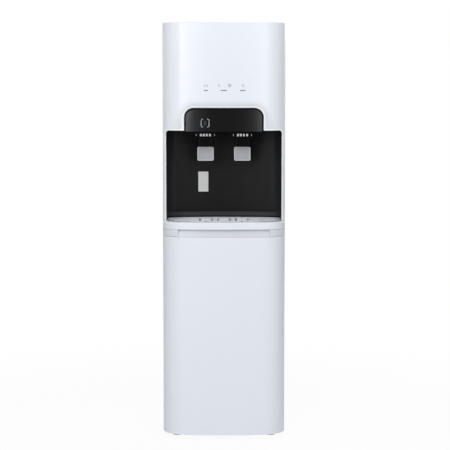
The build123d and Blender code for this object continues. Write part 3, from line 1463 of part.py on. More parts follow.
# Control board: on four standoffs on the right side panel
standoff = 6.0
standoff_radius = 3.0
board_margin = 5.0
board_ys = (front_y + 110.0, front_y + 210.0)
board_zs = (panel_bottom + 114.0, panel_bottom + 234.0)
board_x = sheet_inside - fit - standoff - board
coil_ys = (board_ys[0] + 15.0, board_ys[0] + 49.0)
relay_ys = (board_ys[0] + 60.0, board_ys[0] + 77.0)
relay_height = 20.0
relay_pitch = 26.0
part_z = board_zs[0] + 12.0
plug_z = board_zs[1] - 24.0
with BuildPart() as control_board:
    block((board_x, board_x + board), board_ys, board_zs)
    standoff_ys = (board_ys[0] + board_margin, board_ys[1] - board_margin)
    standoff_zs = (board_zs[0] + board_margin, board_zs[1] - board_margin)
    with Locations(*[Plane.YZ * Location((y, z, board_x + board)) for y in standoff_ys for z in standoff_zs]):
        Cylinder(standoff_radius, standoff, align=(Align.CENTER, Align.CENTER, Align.MIN))
    block((board_x - 24, board_x), coil_ys, (part_z, part_z + 34))
    for z in (part_z, part_z + relay_pitch):
        block((board_x - 16, board_x), relay_ys, (z, z + relay_height))
    block((board_x - 8, board_x), (board_ys[0] + 10, board_ys[1] - 15), (plug_z, plug_z + 12))
    with Locations(*[Plane.YZ * Location((board_ys[0] + lead, plug_z - 22, board_x)) for lead in (20, 37, 55)]):
        Cylinder(6, 18, align=(Align.CENTER, Align.CENTER, Align.MAX))
control_board.part.label = "control_board"
export_step(control_board.part, "parts/control_board.step")
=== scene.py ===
# %% [markdown]
# # Dressing a point-of-use water cooler
# The object is a tall office water cooler: a white cabinet with a bowed front, a black bay with two lever
# taps, a pull-out drip tray, and a black condenser on its back. Every solid already exists as a packed
# model, so this script doesn't build the cabinet again. It gives each part the surface that the maker
# would order, adds the thin printed and glued things, and lights the whole for one picture.
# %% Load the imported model
import json
import math

import bpy
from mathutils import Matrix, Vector
from mathutils.bvhtree import BVHTree

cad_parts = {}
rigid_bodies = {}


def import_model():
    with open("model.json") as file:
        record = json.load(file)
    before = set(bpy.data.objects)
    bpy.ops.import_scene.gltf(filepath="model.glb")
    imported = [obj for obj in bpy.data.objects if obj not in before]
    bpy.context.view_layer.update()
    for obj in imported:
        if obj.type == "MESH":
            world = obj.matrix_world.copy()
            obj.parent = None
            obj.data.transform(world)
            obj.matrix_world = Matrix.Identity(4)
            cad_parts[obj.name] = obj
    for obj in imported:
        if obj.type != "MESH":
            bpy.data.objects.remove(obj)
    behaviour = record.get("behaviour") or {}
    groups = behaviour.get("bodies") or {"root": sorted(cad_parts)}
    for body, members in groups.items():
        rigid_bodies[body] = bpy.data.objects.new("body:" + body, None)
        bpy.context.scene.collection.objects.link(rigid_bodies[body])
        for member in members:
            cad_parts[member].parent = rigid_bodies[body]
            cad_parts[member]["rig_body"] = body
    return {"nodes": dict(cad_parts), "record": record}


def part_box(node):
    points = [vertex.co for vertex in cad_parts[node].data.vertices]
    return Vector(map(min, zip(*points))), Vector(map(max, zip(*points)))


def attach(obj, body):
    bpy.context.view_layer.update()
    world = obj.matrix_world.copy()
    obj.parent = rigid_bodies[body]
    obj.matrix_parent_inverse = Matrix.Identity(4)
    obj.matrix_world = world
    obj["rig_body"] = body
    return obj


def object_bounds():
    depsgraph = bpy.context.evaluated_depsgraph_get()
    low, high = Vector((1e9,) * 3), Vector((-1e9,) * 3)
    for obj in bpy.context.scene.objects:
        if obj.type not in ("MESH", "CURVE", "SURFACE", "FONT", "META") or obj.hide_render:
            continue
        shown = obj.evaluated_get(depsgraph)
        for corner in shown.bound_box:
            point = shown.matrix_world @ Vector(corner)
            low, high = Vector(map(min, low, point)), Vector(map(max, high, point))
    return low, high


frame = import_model()
cad_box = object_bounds()
MM = 0.001
print("box:", [round(v, 4) for corner in cad_box for v in corner])


# %% [markdown]
# ## The camera
# A catalogue picture of a tall appliance is taken from a few metres away with a long lens, so that its
# sides stay nearly parallel. The eye stands a little under the top edge: the top cover hides behind its
# front edge, and the tray is seen slightly from above. A small lens shift does part of the work that a
# tilt would do, and keeps the uprights straighter.
# %% Camera
EYE_HEIGHT = 0.900
EYE_DISTANCE = 3.600
TILT_DOWN = math.radians(4.913)
SENSOR_MM = 36.0
LENS_MM = 117.99
SHIFT = (0.0024, -0.05)


def stand(name, data):
    """A new object in the scene, made from its data."""
    thing = bpy.data.objects.new(name, data)
    bpy.context.scene.collection.objects.link(thing)
    return thing


camera = stand("camera", bpy.data.cameras.new("camera"))
camera.location = (0.0, cad_box[0].y - EYE_DISTANCE, EYE_HEIGHT)
camera.rotation_euler = (math.pi / 2 - TILT_DOWN, 0.0, 0.0)
camera.data.sensor_width = SENSOR_MM
camera.data.lens = LENS_MM
camera.data.shift_x, camera.data.shift_y = SHIFT
bpy.context.scene.camera = camera
print("eye at", [round(v, 3) for v in camera.location])


# %% [markdown]
# ## Colours from a chart
# A paint chart gives a colour as three numbers from 0 to 255, spaced as the eye sees them. A renderer
# adds light, so it needs numbers that are spaced as light adds up. Typing those by eye goes wrong in the
# dark tones, so one function turns a chart colour into linear light.
# %% Chart colours and their shades
def linear(red, green, blue):
    """A chart colour, turned by the sRGB curve to linear light with an alpha of 1."""
    chart = [v / 255.0 for v in (red, green, blue)]
    return tuple(v / 12.92 if v <= 0.04045 else ((v + 0.055) / 1.055) ** 2.4 for v in chart) + (1.0,)


def shade(colour, factor):
    """The same colour, darker or lighter."""
    return tuple(min(1.0, v * factor) for v in colour[:3]) + (1.0,)


PURE_WHITE = linear(255, 255, 255)
print("paper white is", [round(v, 3) for v in linear(250, 250, 250)])


# %% [markdown]
# ## Shader sums as plain Python
# A procedural finish is a sum of a few noises. Wiring Math nodes by hand hides that sum, so one small
# class stands for a socket, and its operators add the Math nodes. A second class stands for a network and
# makes any node from its type, its settings and its inputs. A third is a whole finish: a network that
# knows its surface shader.
# %% A socket that can be summed
class Field:
    """An output socket that sums, products and powers can be written with."""

    def __init__(self, network, socket):
        self.network = network
        self.socket = socket

    def _math(self, operation, first, second=0.0):
        return self.network.make("ShaderNodeMath", {"operation": operation}, {0: first, 1: second})

    def __abs__(self):
        return self._math("ABSOLUTE", self)

    def at_least(self, other):
        return self._math("MAXIMUM", self, other)

    def at_most(self, other):
        return self._math("MINIMUM", self, other)

    def __add__(self, other):
        return self._math("ADD", self, other)

    __radd__ = __add__

    def __sub__(self, other):
        return self._math("SUBTRACT", self, other)

    def __rsub__(self, other):
        return self._math("SUBTRACT", other, self)

    def __mul__(self, other):
        return self._math("MULTIPLY", self, other)

    __rmul__ = __mul__

    def __pow__(self, other):
        return self._math("POWER", self, other)


# %% A network of nodes
class Network:
    """The nodes of a material or of the world, all made in one way."""

    def __init__(self, tree):
        self.tree = tree

    def make(self, kind, settings=None, inputs=None, output=0):
        node = self.tree.nodes.new(kind)
        for label, value in (settings or {}).items():
            setattr(node, label, value)
        for label, value in (inputs or {}).items():
            if isinstance(value, Field):
                self.tree.links.new(value.socket, node.inputs[label])
            else:
                node.inputs[label].default_value = value
        return Field(self, node.outputs[output])

    def ramp(self, field, low, high, start=0.0, end=1.0):
        """Stretches the part of a field between low and high to start..end, with soft ends."""
        inputs = {"Value": field, "From Min": low, "From Max": high, "To Min": start, "To Max": end}
        return self.make("ShaderNodeMapRange", {"interpolation_type": "SMOOTHSTEP"}, inputs)

    def blend_shaders(self, factor, first, second, output_node):
        """Shows two shaders mixed by a factor."""
        both = self.make("ShaderNodeMixShader", {}, {0: factor, 1: first, 2: second})
        self.tree.links.new(both.socket, self.tree.nodes[output_node].inputs["Surface"])


# %% A finish: one material and its nodes
UNSTRETCHED = (1.0, 1.0, 1.0)


class Finish(Network):
    """A procedural material on one Principled surface shader."""

    def __init__(self, name, **constants):
        self.material = bpy.data.materials.new(name)
        self.material.use_nodes = True
        super().__init__(self.material.node_tree)
        self.surface = self.tree.nodes["Principled BSDF"]
        for label, value in constants.items():
            self.surface.inputs[label.replace("_", " ")].default_value = value

    def drive(self, label, field):
        self.tree.links.new(field.socket, self.surface.inputs[label])

    def place(self, stretch=UNSTRETCHED):
        """The point on the part, in metres, with each axis stretched."""
        point = self.make("ShaderNodeTexCoord", output="Object")
        return self.make("ShaderNodeMapping", {}, {"Vector": point, "Scale": stretch})

    def along(self, axis):
        """How far the point on the part lies along one axis, in metres."""
        return self.make("ShaderNodeSeparateXYZ", {}, {0: self.place()}, axis)

    def noise(self, size, detail=2.0, stretch=UNSTRETCHED):
        """Cloudy noise from 0 to 1 whose blobs are about size metres wide."""
        inputs = {"Vector": self.place(stretch), "Scale": 1.0 / size, "Detail": detail}
        return self.make("ShaderNodeTexNoise", {}, inputs)

    def cells(self, size, feature="F1", output="Distance"):
        """Cells about size metres wide, as beads or crystals."""
        inputs = {"Vector": self.place(), "Scale": 1.0 / size}
        return self.make("ShaderNodeTexVoronoi", {"feature": feature}, inputs, output)

    def mix(self, factor, first, second):
        """A colour between two colours."""
        inputs = {0: factor, 6: first, 7: second}
        return self.make("ShaderNodeMix", {"data_type": "RGBA"}, inputs, 2)

    def mottle(self, field, colour, spread):
        """A colour that a field makes darker and lighter by a share of itself."""
        return self.mix(field, shade(colour, 1.0 - spread), shade(colour, 1.0 + spread))

    def roughen(self, field, start, end):
        """Drives the roughness from start to end as a field goes from 0 to 1."""
        self.drive("Roughness", start + field * (end - start))

    def relief(self, height, depth):
        """Turns a height field, in units of depth metres, into the surface's normal."""
        inputs = {"Height": height, "Distance": depth, "Strength": 1.0}
        self.drive("Normal", self.make("ShaderNodeBump", {}, inputs))


print("shader helpers:", ", ".join(kind.__name__ for kind in (Field, Network, Finish)))


# %% [markdown]
# ## Moulded plastics
# An injection moulding is never one flat tone. The pellets leave a cloudiness a few centimetres wide,
# the tool leaves either a polish or a spark-eroded grain, and handling leaves the gloss uneven. One
# recipe holds all of that, and each plastic only says its colour, its gloss and the size of its grain.
# %% One recipe for every moulding
CLOUD = (0.05, 3.0)
HANDLING = (0.018, 4.0)
PLASTIC_IOR = 1.49
COAT_GLOSS = 0.1


def moulding(name, colour, gloss, grain, depth, spread=0.03, coat=0.0, shine=0.5, uneven=0.3):
    """A moulded plastic: gloss is its roughness, grain and depth are the texture of the tool."""
    looks = {"Roughness": gloss, "IOR": PLASTIC_IOR, "Specular_IOR_Level": shine}
    finish = Finish(name, **looks, Coat_Weight=coat, Coat_Roughness=COAT_GLOSS)
    finish.drive("Base Color", finish.mottle(finish.noise(*CLOUD), colour, spread))
    finish.roughen(finish.noise(*HANDLING), gloss * (1.0 - uneven / 2), gloss * (1.0 + uneven / 2))
    finish.relief(finish.noise(grain), depth)
    return finish.material


print("cloud and handling marks:", CLOUD[0] / MM, "and", HANDLING[0] / MM, "mm")

# %% The plain mouldings
WHITE = linear(236, 239, 245)
POLISHED = {"gloss": 0.3, "grain": 0.0016, "depth": 0.0000006}
TAP = {"gloss": 0.3, "grain": 0.0009, "depth": 0.00002}
ROCKER = {"gloss": 0.28, "grain": 0.0012, "depth": 0.00001}
PHENOLIC = {"gloss": 0.45, "grain": 0.0008, "depth": 0.00003}
NYLON = {"gloss": 0.45, "grain": 0.0011, "depth": 0.00003}
skins = {
    "white_plastic": moulding(
        "white_gloss_moulding", WHITE, **POLISHED, spread=0.004, coat=0.2, uneven=0.08
    ),
    "tap_black": moulding("black_tap_moulding", linear(6, 6, 7), **TAP, spread=0.10, shine=0.1),
    "blue_plastic": moulding("blue_rocker_moulding", linear(38, 84, 168), **ROCKER, spread=0.05),
    "red_plastic": moulding("red_rocker_moulding", linear(186, 32, 30), **ROCKER, spread=0.05),
    "brown_plastic": moulding("brown_phenolic_moulding", linear(74, 50, 38), **PHENOLIC, spread=0.18),
    "white_nylon": moulding("white_nylon_moulding", linear(232, 231, 224), **NYLON, spread=0.02),
}
print("mouldings:", sorted(skins))


# %% [markdown]
# ## Finishes that follow an outline
# Five mouldings change along a line: the front, the hood, the liner, the pads and the grille. A painted
# mask could say where, but it would need an unwrapped mesh and would blur up close. The distance to a
# rounded rectangle is a short sum, and stays sharp: how far a point lies outside the straight sides, less
# the radius of the corners. An outline is written here as its centre, its half size and that radius.
# %% Distance to a rounded rectangle
ARCH = ((0.0, 0.7600), (0.097, 0.0613), 0.023)
BAY = ((0.0, 0.6445), (0.143, 0.1215), 0.008)


def outline_distance(finish, axes, centre, half, radius):
    """Metres from a rounded rectangle in the plane of two axes, negative inside it."""
    beyond = []
    for axis, middle, reach in zip(axes, centre, half):
        beyond.append(abs(finish.along(axis) - middle) - (reach - radius))
    corner = (beyond[0].at_least(0.0) ** 2 + beyond[1].at_least(0.0) ** 2) ** 0.5
    return corner + beyond[0].at_least(beyond[1]).at_most(0.0) - radius


def nearest_outline(finish, axes, outlines):
    """Metres from the nearest of several rounded rectangles."""
    distances = [outline_distance(finish, axes, *outline) for outline in outlines]
    nearest = distances[0]
    for distance in distances[1:]:
        nearest = nearest.at_most(distance)
    return nearest


print("arch and bay are", round(2 * ARCH[1][0] / MM), "and", round(2 * BAY[1][0] / MM), "mm wide")


# %% [markdown]
# ## The white front
# The front sinks a little round the arch over the taps, and the soft grey border round it is painted
# shade. The whole opening ends in a rim painted white as a highlight. Under the tray a band slopes back
# to a finger pocket, with a fine seam above and below it. The solid has the band and the pocket, but not
# the shallow dish, so a relief draws that, and painted shade darkens the band, its pocket and its seams.
# %% A front with a dished border
BORDER_WIDTH = 0.024
BORDER_FOOT = (0.766, 0.826)
BORDER_STRETCH = 0.55
BORDER_FADE = 1.5
# How dark the painted shade of the grey border round the arch is.
BORDER_PAINTED_SHADE = 0.76
BORDER_SINK = 0.6
RIM_BACK = -0.004
RIM_WIDTH = 0.0035
RIM_EDGE = 0.001
RIM_FOOT = (0.526, 0.528)


def dished_border(finish, height):
    """Masks of the dish round the arch, of the painted shade on its border and of the painted highlight on
    the rim round the opening.
    """
    away = outline_distance(finish, "XZ", *ARCH)
    wider_below = finish.ramp(height, *BORDER_FOOT, BORDER_STRETCH, 1.0)
    dish = finish.ramp(away * wider_below, 0.0, BORDER_WIDTH, 1.0, 0.0)
    # The border mask says where painted shade darkens the front round the arch.
    border = dish * finish.ramp(away, RIM_WIDTH, RIM_WIDTH + RIM_EDGE)
    opening = away.at_most(outline_distance(finish, "XZ", *BAY))
    # The rim mask says where the rim round the opening is painted white as a painted highlight.
    before_rim = finish.ramp(opening, RIM_BACK, RIM_BACK + RIM_EDGE)
    past_rim = finish.ramp(opening, RIM_WIDTH, RIM_WIDTH + RIM_EDGE)
    rim = (before_rim - past_rim) * finish.ramp(height, *RIM_FOOT)
    return dish, border, rim


print("border is", BORDER_WIDTH / MM, "mm wide, rim", RIM_WIDTH / MM, "mm")

# %% Painted shade on the band under the tray
BAND = (0.505, 0.523)
BAND_EDGE = 0.0005
BAND_SLOPE = 0.2
# How dark the painted shade on the band and its pocket is.
BAND_PAINTED_SHADE = 0.80
POCKET_HALF = 0.112
POCKET_EDGE = 0.002
# Share of the painted shade that the band keeps beside the pocket.
SHADE_BESIDE_POCKET = 0.2
# Painted shade in the seams above and below the band.
UPPER_SEAM_SHADE = (0.0014, 0.0018, 0.8, 0.0)
LOWER_SEAM_SHADE = (0.0010, 0.0014, 0.6, 0.0)


def painted_band_shade(finish, height):
    """How much painted shade lies on the band, its pocket and its seams, from 0 to 1."""
    above_foot = finish.ramp(height, BAND[0], BAND[0] + BAND_EDGE)
    above_top = finish.ramp(height, BAND[1], BAND[1] + BAND_EDGE)
    across = abs(finish.along("X"))
    in_pocket = finish.ramp(across, POCKET_HALF, POCKET_HALF + POCKET_EDGE, 1.0, SHADE_BESIDE_POCKET)
    upper_seam = finish.ramp(abs(height - BAND[1]), *UPPER_SEAM_SHADE)
    lower_seam = finish.ramp(height - BAND[0], *LOWER_SEAM_SHADE)
    return ((above_foot - above_top) * in_pocket).at_least(upper_seam.at_least(lower_seam))


print("band is", round((BAND[1] - BAND[0]) / MM, 1), "mm high")

# %% The whole front
FRONT_SPREAD = 0.004
FRONT_HANDLING = 0.08


def dished_front(colour, gloss, coat):
    """The gloss of the other white mouldings, with painted shade on the border and the band and a painted
    highlight on the rim.
    """
    looks = {"Roughness": gloss, "IOR": PLASTIC_IOR}
    finish = Finish("white_dished_front", **looks, Coat_Weight=coat, Coat_Roughness=COAT_GLOSS)
    height = finish.along("Z")
    dish, border, rim = dished_border(finish, height)
    tone = finish.mottle(finish.noise(*CLOUD), colour, FRONT_SPREAD)
    # Painted shade: the border round the arch is darkened.
    tone = finish.mix(border ** BORDER_FADE, tone, shade(colour, BORDER_PAINTED_SHADE))
    # Painted highlight: the rim round the opening is painted pure white.
    tone = finish.mix(rim, tone, PURE_WHITE)
    # Painted shade on the band under the tray, its pocket and its seams.
    tone = finish.mix(painted_band_shade(finish, height), tone, shade(colour, BAND_PAINTED_SHADE))
    finish.drive("Base Color", tone)
    finish.roughen(finish.noise(*HANDLING), gloss, gloss * (1.0 + FRONT_HANDLING))
    up_the_band = (height - BAND[0]).at_least(0.0).at_most(BAND[1] - BAND[0])
    finish.relief(dish * -BORDER_SINK + up_the_band * (BAND_SLOPE / MM), MM)
    return finish.material


own_skins = {"front_frame": dished_front(WHITE, gloss=POLISHED["gloss"], coat=0.2)}
print("front:", own_skins["front_frame"].name, "with", len(own_skins["front_frame"].node_tree.nodes), "nodes")


# %% [markdown]
# ## The lacquered hood
# The hood over the taps is lacquered like a piano: black paint under a clear coat. Its rim rolls back
# into the gap and stays dull. Coating the whole part would light that rim up, so the coat's weight follows
# the outline, and the rim reads as the thin black line that parts black from white.
# %% Hood lacquer
HOOD_RIM = 0.0034
HOOD_EDGE = 0.0006
LACQUER = 0.8
LACQUER_SPREAD = 0.1
LACQUER_WAVE = (0.004, 0.000002)


def lacquered_hood(colour):
    """Black paint whose clear coat stops at the rolled rim."""
    finish = Finish("black_lacquered_hood", Roughness=0.5, Coat_Roughness=0.15, Specular_IOR_Level=0.05)
    away = outline_distance(finish, "XZ", *ARCH)
    face = finish.ramp(away, -HOOD_RIM - HOOD_EDGE, -HOOD_RIM, 1.0, 0.0)
    finish.drive("Base Color", finish.mottle(finish.noise(*CLOUD), colour, LACQUER_SPREAD))
    finish.drive("Coat Weight", face * LACQUER)
    finish.relief(finish.noise(LACQUER_WAVE[0], 1.0), LACQUER_WAVE[1])
    return finish.material


skins["hood_black"] = lacquered_hood(linear(5, 5, 6))
print("hood:", skins["hood_black"].name)


# %% [markdown]
# ## The liner of the bay
# The liner is one black sheet drawn deep into the cabinet. Its side walls are painted paler and the kick at
# its foot grey, as painted light where they face the lamps, and a painted shadow line lies where the kick
# meets the grille. Three bands of colour across the part do that, so it needs no relief but its fine grain.
# %% Liner with painted light on its sides and kick
SIDE_WALL = (0.116, 0.142)
KICK = (0.554, 0.558)
# Height above the grille of the painted shadow line.
FOOT_SHADOW_REACH = (0.0026, 0.0036)
LINER_SPREAD = 0.1
LINER_GLOSS = (0.34, 0.44)
LINER_GRAIN = (0.0007, 0.00003)


def liner_with_painted_light(colour, side_painted_light, kick_painted_light, foot_painted_shadow):
    """Satin black with painted light on its sides and kick, and a painted shadow line at its foot."""
    finish = Finish("black_satin_liner", Roughness=0.38, IOR=PLASTIC_IOR, Specular_IOR_Level=0.2)
    height = finish.along("Z")
    above_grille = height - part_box("drip_grille")[1].z
    tone = finish.mottle(finish.noise(*CLOUD), colour, LINER_SPREAD)
    # Painted light: the side walls are painted paler.
    tone = finish.mix(finish.ramp(abs(finish.along("X")), *SIDE_WALL), tone, side_painted_light)
    # Painted light: the kick is painted grey.
    tone = finish.mix(finish.ramp(height, *KICK, 1.0, 0.0), tone, kick_painted_light)
    # Painted shadow: a dark line just above the grille.
    tone = finish.mix(finish.ramp(above_grille, *FOOT_SHADOW_REACH, 1.0, 0.0), tone, foot_painted_shadow)
    finish.drive("Base Color", tone)
    finish.roughen(finish.noise(*HANDLING), *LINER_GLOSS)
    finish.relief(finish.noise(LINER_GRAIN[0]), LINER_GRAIN[1])
    return finish.material


skins["bay_black"] = liner_with_painted_light(linear(17, 16, 18), linear(48, 48, 51), linear(62, 62, 64), linear(3, 3, 4))
print("liner:", skins["bay_black"].name)


# %% [markdown]
# ## The lever pads
# Each pad's rim is smoother than the grey face and painted paler, as a painted highlight on its edge. Both
# pads share one
# material: their outlines come from the imported boxes, and the nearest of the two says where the rim is.
# %% Pads with a painted highlight on their rims
PAD_CORNER = 0.004
PAD_RIM = 0.0025
PAD_EDGE = 0.0004
# How much paler the painted highlight on the pad rims is.
PAD_RIM_HIGHLIGHT = 1.5
PAD_GLOSS = (0.42, 0.28)
PAD_GRAIN = (0.0006, 0.00002)
FINE_SPREAD = 0.03


def pad_outline(node):
    """The outline of a pad as seen from the front."""
    low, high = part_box(node)
    centre = ((low.x + high.x) / 2, (low.z + high.z) / 2)
    half = ((high.x - low.x) / 2, (high.z - low.z) / 2)
    return centre, half, PAD_CORNER


def rimmed_pad(colour, outlines):
    """Grained grey with a smoother rim, painted paler as a highlight."""
    finish = Finish("grey_rimmed_pad", Roughness=0.4, IOR=PLASTIC_IOR)
    away = nearest_outline(finish, "XZ", outlines)
    rim = finish.ramp(away, -PAD_RIM - PAD_EDGE, -PAD_RIM + PAD_EDGE)
    grain = finish.noise(PAD_GRAIN[0])
    tone = finish.mottle(grain, colour, FINE_SPREAD)
    # Painted highlight: the rim is painted paler than the face.
    finish.drive("Base Color", finish.mix(rim, tone, shade(colour, PAD_RIM_HIGHLIGHT)))
    finish.roughen(rim, *PAD_GLOSS)
    finish.relief(grain, PAD_GRAIN[1])
    return finish.material


pad_outlines = [pad_outline(node) for node in ("hot_lever_pad", "cold_lever_pad")]
skins["pad_grey"] = rimmed_pad(linear(186, 186, 188), pad_outlines)
print("pads at x", [round(centre[0] / MM) for centre, half, radius in pad_outlines])


# %% [markdown]
# ## The grille
# The grille is sprayed silver grey. Such paint scatters light back the way it came, so the plate looks
# pale even when it is seen almost edge on: full diffuse roughness does that, where a plain gloss would
# mirror the black bay. The three rests for a cup are polished almost white.
# %% Silver grille with polished rests
REST_CORNER = 0.004
RESTS = (
    ((-0.045, -0.084), (0.0095, 0.022), REST_CORNER),
    ((0.0, -0.083), (0.011, 0.013), REST_CORNER),
    ((0.045, -0.084), (0.0095, 0.022), REST_CORNER),
)
REST_EDGE = 0.001
GRILLE_GLOSS = (0.42, 0.27)
GRILLE_GRAIN = (0.0007, 0.00001)


def silver_grille(colour):
    """Sprayed silver grey that scatters light back, with white, smoother rests."""
    looks = {"Roughness": 0.4, "IOR": PLASTIC_IOR, "Specular_IOR_Level": 0.1}
    finish = Finish("silver_grey_moulding", **looks, Diffuse_Roughness=1.0)
    polished = finish.ramp(nearest_outline(finish, "XY", RESTS), -REST_EDGE, REST_EDGE, 1.0, 0.0)
    grain = finish.noise(GRILLE_GRAIN[0])
    tone = finish.mottle(grain, colour, FINE_SPREAD)
    finish.drive("Base Color", finish.mix(polished, tone, PURE_WHITE))
    finish.roughen(polished, *GRILLE_GLOSS)
    finish.relief(grain, GRILLE_GRAIN[1])
    return finish.material


skins["grille_grey"] = silver_grille(linear(222, 223, 229))
print("grille:", skins["grille_grey"].name, "with", len(RESTS), "rests")


# %% [markdown]
# ## Painted and bare metal
# The side panels are steel under powder paint, which dries with an orange-peel skin. The back panel and
# the pans are left galvanised: zinc crystals make flat patches, each with its own tone and gloss. The
# tanks are stainless steel with the fine lines of rolling, drawn here by stretching a noise on one axis.
# %% Powder paint
PAINT_CLOUD = (0.08, 3.0)
PAINT_FADE = 0.985
PAINT_DUST = (0.01, 3.0)
PAINT_UNEVEN = (0.9, 1.15)
COARSE_PEEL = 3.0
COARSE_SHARE = 0.6


def powder_paint(name, colour, gloss, peel, depth):
    """Paint that was blown on as powder: a lumpy skin, slightly uneven in gloss."""
    finish = Finish(name, Roughness=gloss, IOR=1.5)
    finish.drive("Base Color", finish.mix(finish.noise(*PAINT_CLOUD), shade(colour, PAINT_FADE), colour))
    finish.roughen(finish.noise(*PAINT_DUST), gloss * PAINT_UNEVEN[0], gloss * PAINT_UNEVEN[1])
    coarse = finish.noise(peel * COARSE_PEEL, 1.0)
    finish.relief(finish.noise(peel, 1.0) + coarse * COARSE_SHARE, depth)
    return finish.material


SPRAYED = {"gloss": 0.36, "peel": 0.0018, "depth": 0.000004}
DIPPED = {"gloss": 0.38, "peel": 0.0012, "depth": 0.00004}
skins["white_steel"] = powder_paint("white_powder_paint", linear(228, 230, 238), **SPRAYED)
skins["black_coat"] = powder_paint("black_dip_paint", linear(30, 30, 31), **DIPPED)
print("paints:", skins["white_steel"].name, skins["black_coat"].name)

# %% Bare metals
ROLLED_DOWN = (1.0, 1.0, 0.05)
ROLLING_TONE = (0.0012, 3.0)
ROLLING_SHADES = (0.82, 1.12)
ROLLING_LINES = (0.0006, 2.0)
ROLLING_DEPTH = 0.000008
ROLLING_UNEVEN = (0.8, 1.2)
CRYSTAL_SIZE = 0.012
CRYSTAL_SHARE = 0.6


def bare_metal(name, colour, gloss, lines=UNSTRETCHED, zinc_crystals=False):
    """Rolled metal, with or without crystals: lines stretches the rolling marks."""
    finish = Finish(name, Metallic=1.0, Roughness=gloss)
    tone = finish.noise(*ROLLING_TONE, lines)
    if zinc_crystals:
        crystal = finish.cells(CRYSTAL_SIZE, output="Color")
        tone = tone * (1.0 - CRYSTAL_SHARE) + crystal * CRYSTAL_SHARE
    dark, light = (shade(colour, factor) for factor in ROLLING_SHADES)
    finish.drive("Base Color", finish.mix(tone, dark, light))
    finish.roughen(tone, gloss * ROLLING_UNEVEN[0], gloss * ROLLING_UNEVEN[1])
    finish.relief(finish.noise(*ROLLING_LINES, lines), ROLLING_DEPTH)
    return finish.material


skins["galvanised"] = bare_metal("galvanised_sheet", linear(196, 199, 202), 0.42, zinc_crystals=True)
skins["stainless"] = bare_metal("stainless_sheet", linear(208, 207, 204), 0.28, lines=ROLLED_DOWN)
skins["copper"] = bare_metal("copper_tube", linear(200, 124, 92), 0.30)
skins["zinc"] = bare_metal("zinc_plated_steel", linear(206, 206, 210), 0.30)
print("metals:", [skins[slot].name for slot in ("galvanised", "stainless", "copper", "zinc")])


# %% [markdown]
# ## Soft, foamed and printed surfaces
# Rubber is dull and a little dusty. Expanded foam is made of beads that have pressed each other flat,
# which cell noise draws at once. A circuit board is green lacquer over tracks: long thin patches of a
# lighter green show where the copper lies under it. Water tube and light pipe let light a little way in.
# %% Rubber and foam
DUST = (0.006, 4.0)
DUST_EDGE = (0.45, 0.75)
RUBBER_GLOSS = (0.62, 0.82)
RUBBER_GRAIN = (0.0008, 0.00004)
BEAD_SIZE = 0.004
BEAD_EDGE = 0.12
BEAD_DEPTH = 0.0003


def rubber():
    """Dull black with patches of dust."""
    finish = Finish("black_rubber", Roughness=0.7, IOR=1.52)
    dust = finish.ramp(finish.noise(*DUST), *DUST_EDGE)
    finish.drive("Base Color", finish.mix(dust, linear(28, 28, 28), linear(46, 45, 44)))
    finish.roughen(dust, *RUBBER_GLOSS)
    finish.relief(finish.noise(RUBBER_GRAIN[0]), RUBBER_GRAIN[1])
    return finish.material


def bead_foam():
    """White beads with fine grey joints between them."""
    finish = Finish("white_bead_foam", Roughness=0.85)
    bead = finish.ramp(finish.cells(BEAD_SIZE, "DISTANCE_TO_EDGE"), 0.0, BEAD_EDGE)
    finish.drive("Base Color", finish.mix(bead, linear(206, 206, 202), linear(242, 242, 238)))
    finish.relief(bead, BEAD_DEPTH)
    return finish.material


skins["black_rubber"] = rubber()
skins["bead_foam"] = bead_foam()
print("soft:", skins["black_rubber"].name, skins["bead_foam"].name)

# %% Board, tube and light pipe
TRACK_SIZE = 0.002
TRACK_STRETCH = (1.0, 1.0, 0.12)
TRACK_EDGE = (0.52, 0.58)
TRACK_GLOSS = (0.3, 0.45)
TRACK_DEPTH = 0.00004
MILKY_SHARE = 0.2
MILKY_DEPTH = 0.003
MILKY_CLOUD = 0.01
MILKY_FADE = 0.96
MILKY_RIPPLE = (0.002, 0.00001)


def circuit_board():
    """Green lacquer with paler tracks that stand a little proud."""
    finish = Finish("green_circuit_board", Roughness=0.35, IOR=1.5)
    track = finish.ramp(finish.noise(TRACK_SIZE, 0.0, TRACK_STRETCH), *TRACK_EDGE)
    finish.drive("Base Color", finish.mix(track, linear(18, 74, 44), linear(44, 120, 74)))
    finish.roughen(track, *TRACK_GLOSS)
    finish.relief(track, TRACK_DEPTH)
    return finish.material


def milky_plastic(name, colour, gloss):
    """A plastic that light goes a little way into."""
    milk = {"Subsurface_Weight": MILKY_SHARE, "Subsurface_Scale": MILKY_DEPTH}
    finish = Finish(name, Roughness=gloss, IOR=1.5, **milk)
    finish.drive("Base Color", finish.mix(finish.noise(MILKY_CLOUD), shade(colour, MILKY_FADE), colour))
    finish.relief(finish.noise(MILKY_RIPPLE[0]), MILKY_RIPPLE[1])
    return finish.material


skins["board_green"] = circuit_board()
skins["clear_tube"] = milky_plastic("milky_water_tube", linear(226, 230, 232), 0.3)
skins["lens"] = milky_plastic("milky_light_pipe", linear(222, 228, 238), 0.2)
print("finishes ready:", len(skins) + len(own_skins))


# %% [markdown]
# ## Giving each part its finish
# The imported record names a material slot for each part, so the finish is looked up there. The slot
# called foam holds two real materials: the block round the cold tank is bead foam, while fittings,
# filters and lids are white nylon, so the block is named on its own.
# %% Assign the finishes
BEAD_FOAM_PARTS = {"cold_tank_insulation"}
slot_of = {entry["node"]: entry["material_slot"] for entry in frame["record"]["subparts"]}
for name, part in frame["nodes"].items():
    slot = slot_of[name]
    if slot == "foam":
        slot = "bead_foam" if name in BEAD_FOAM_PARTS else "white_nylon"
    part.data.materials.clear()
    part.data.materials.append(own_skins.get(name, skins[slot]))
print("parts dressed:", len(frame["nodes"]))


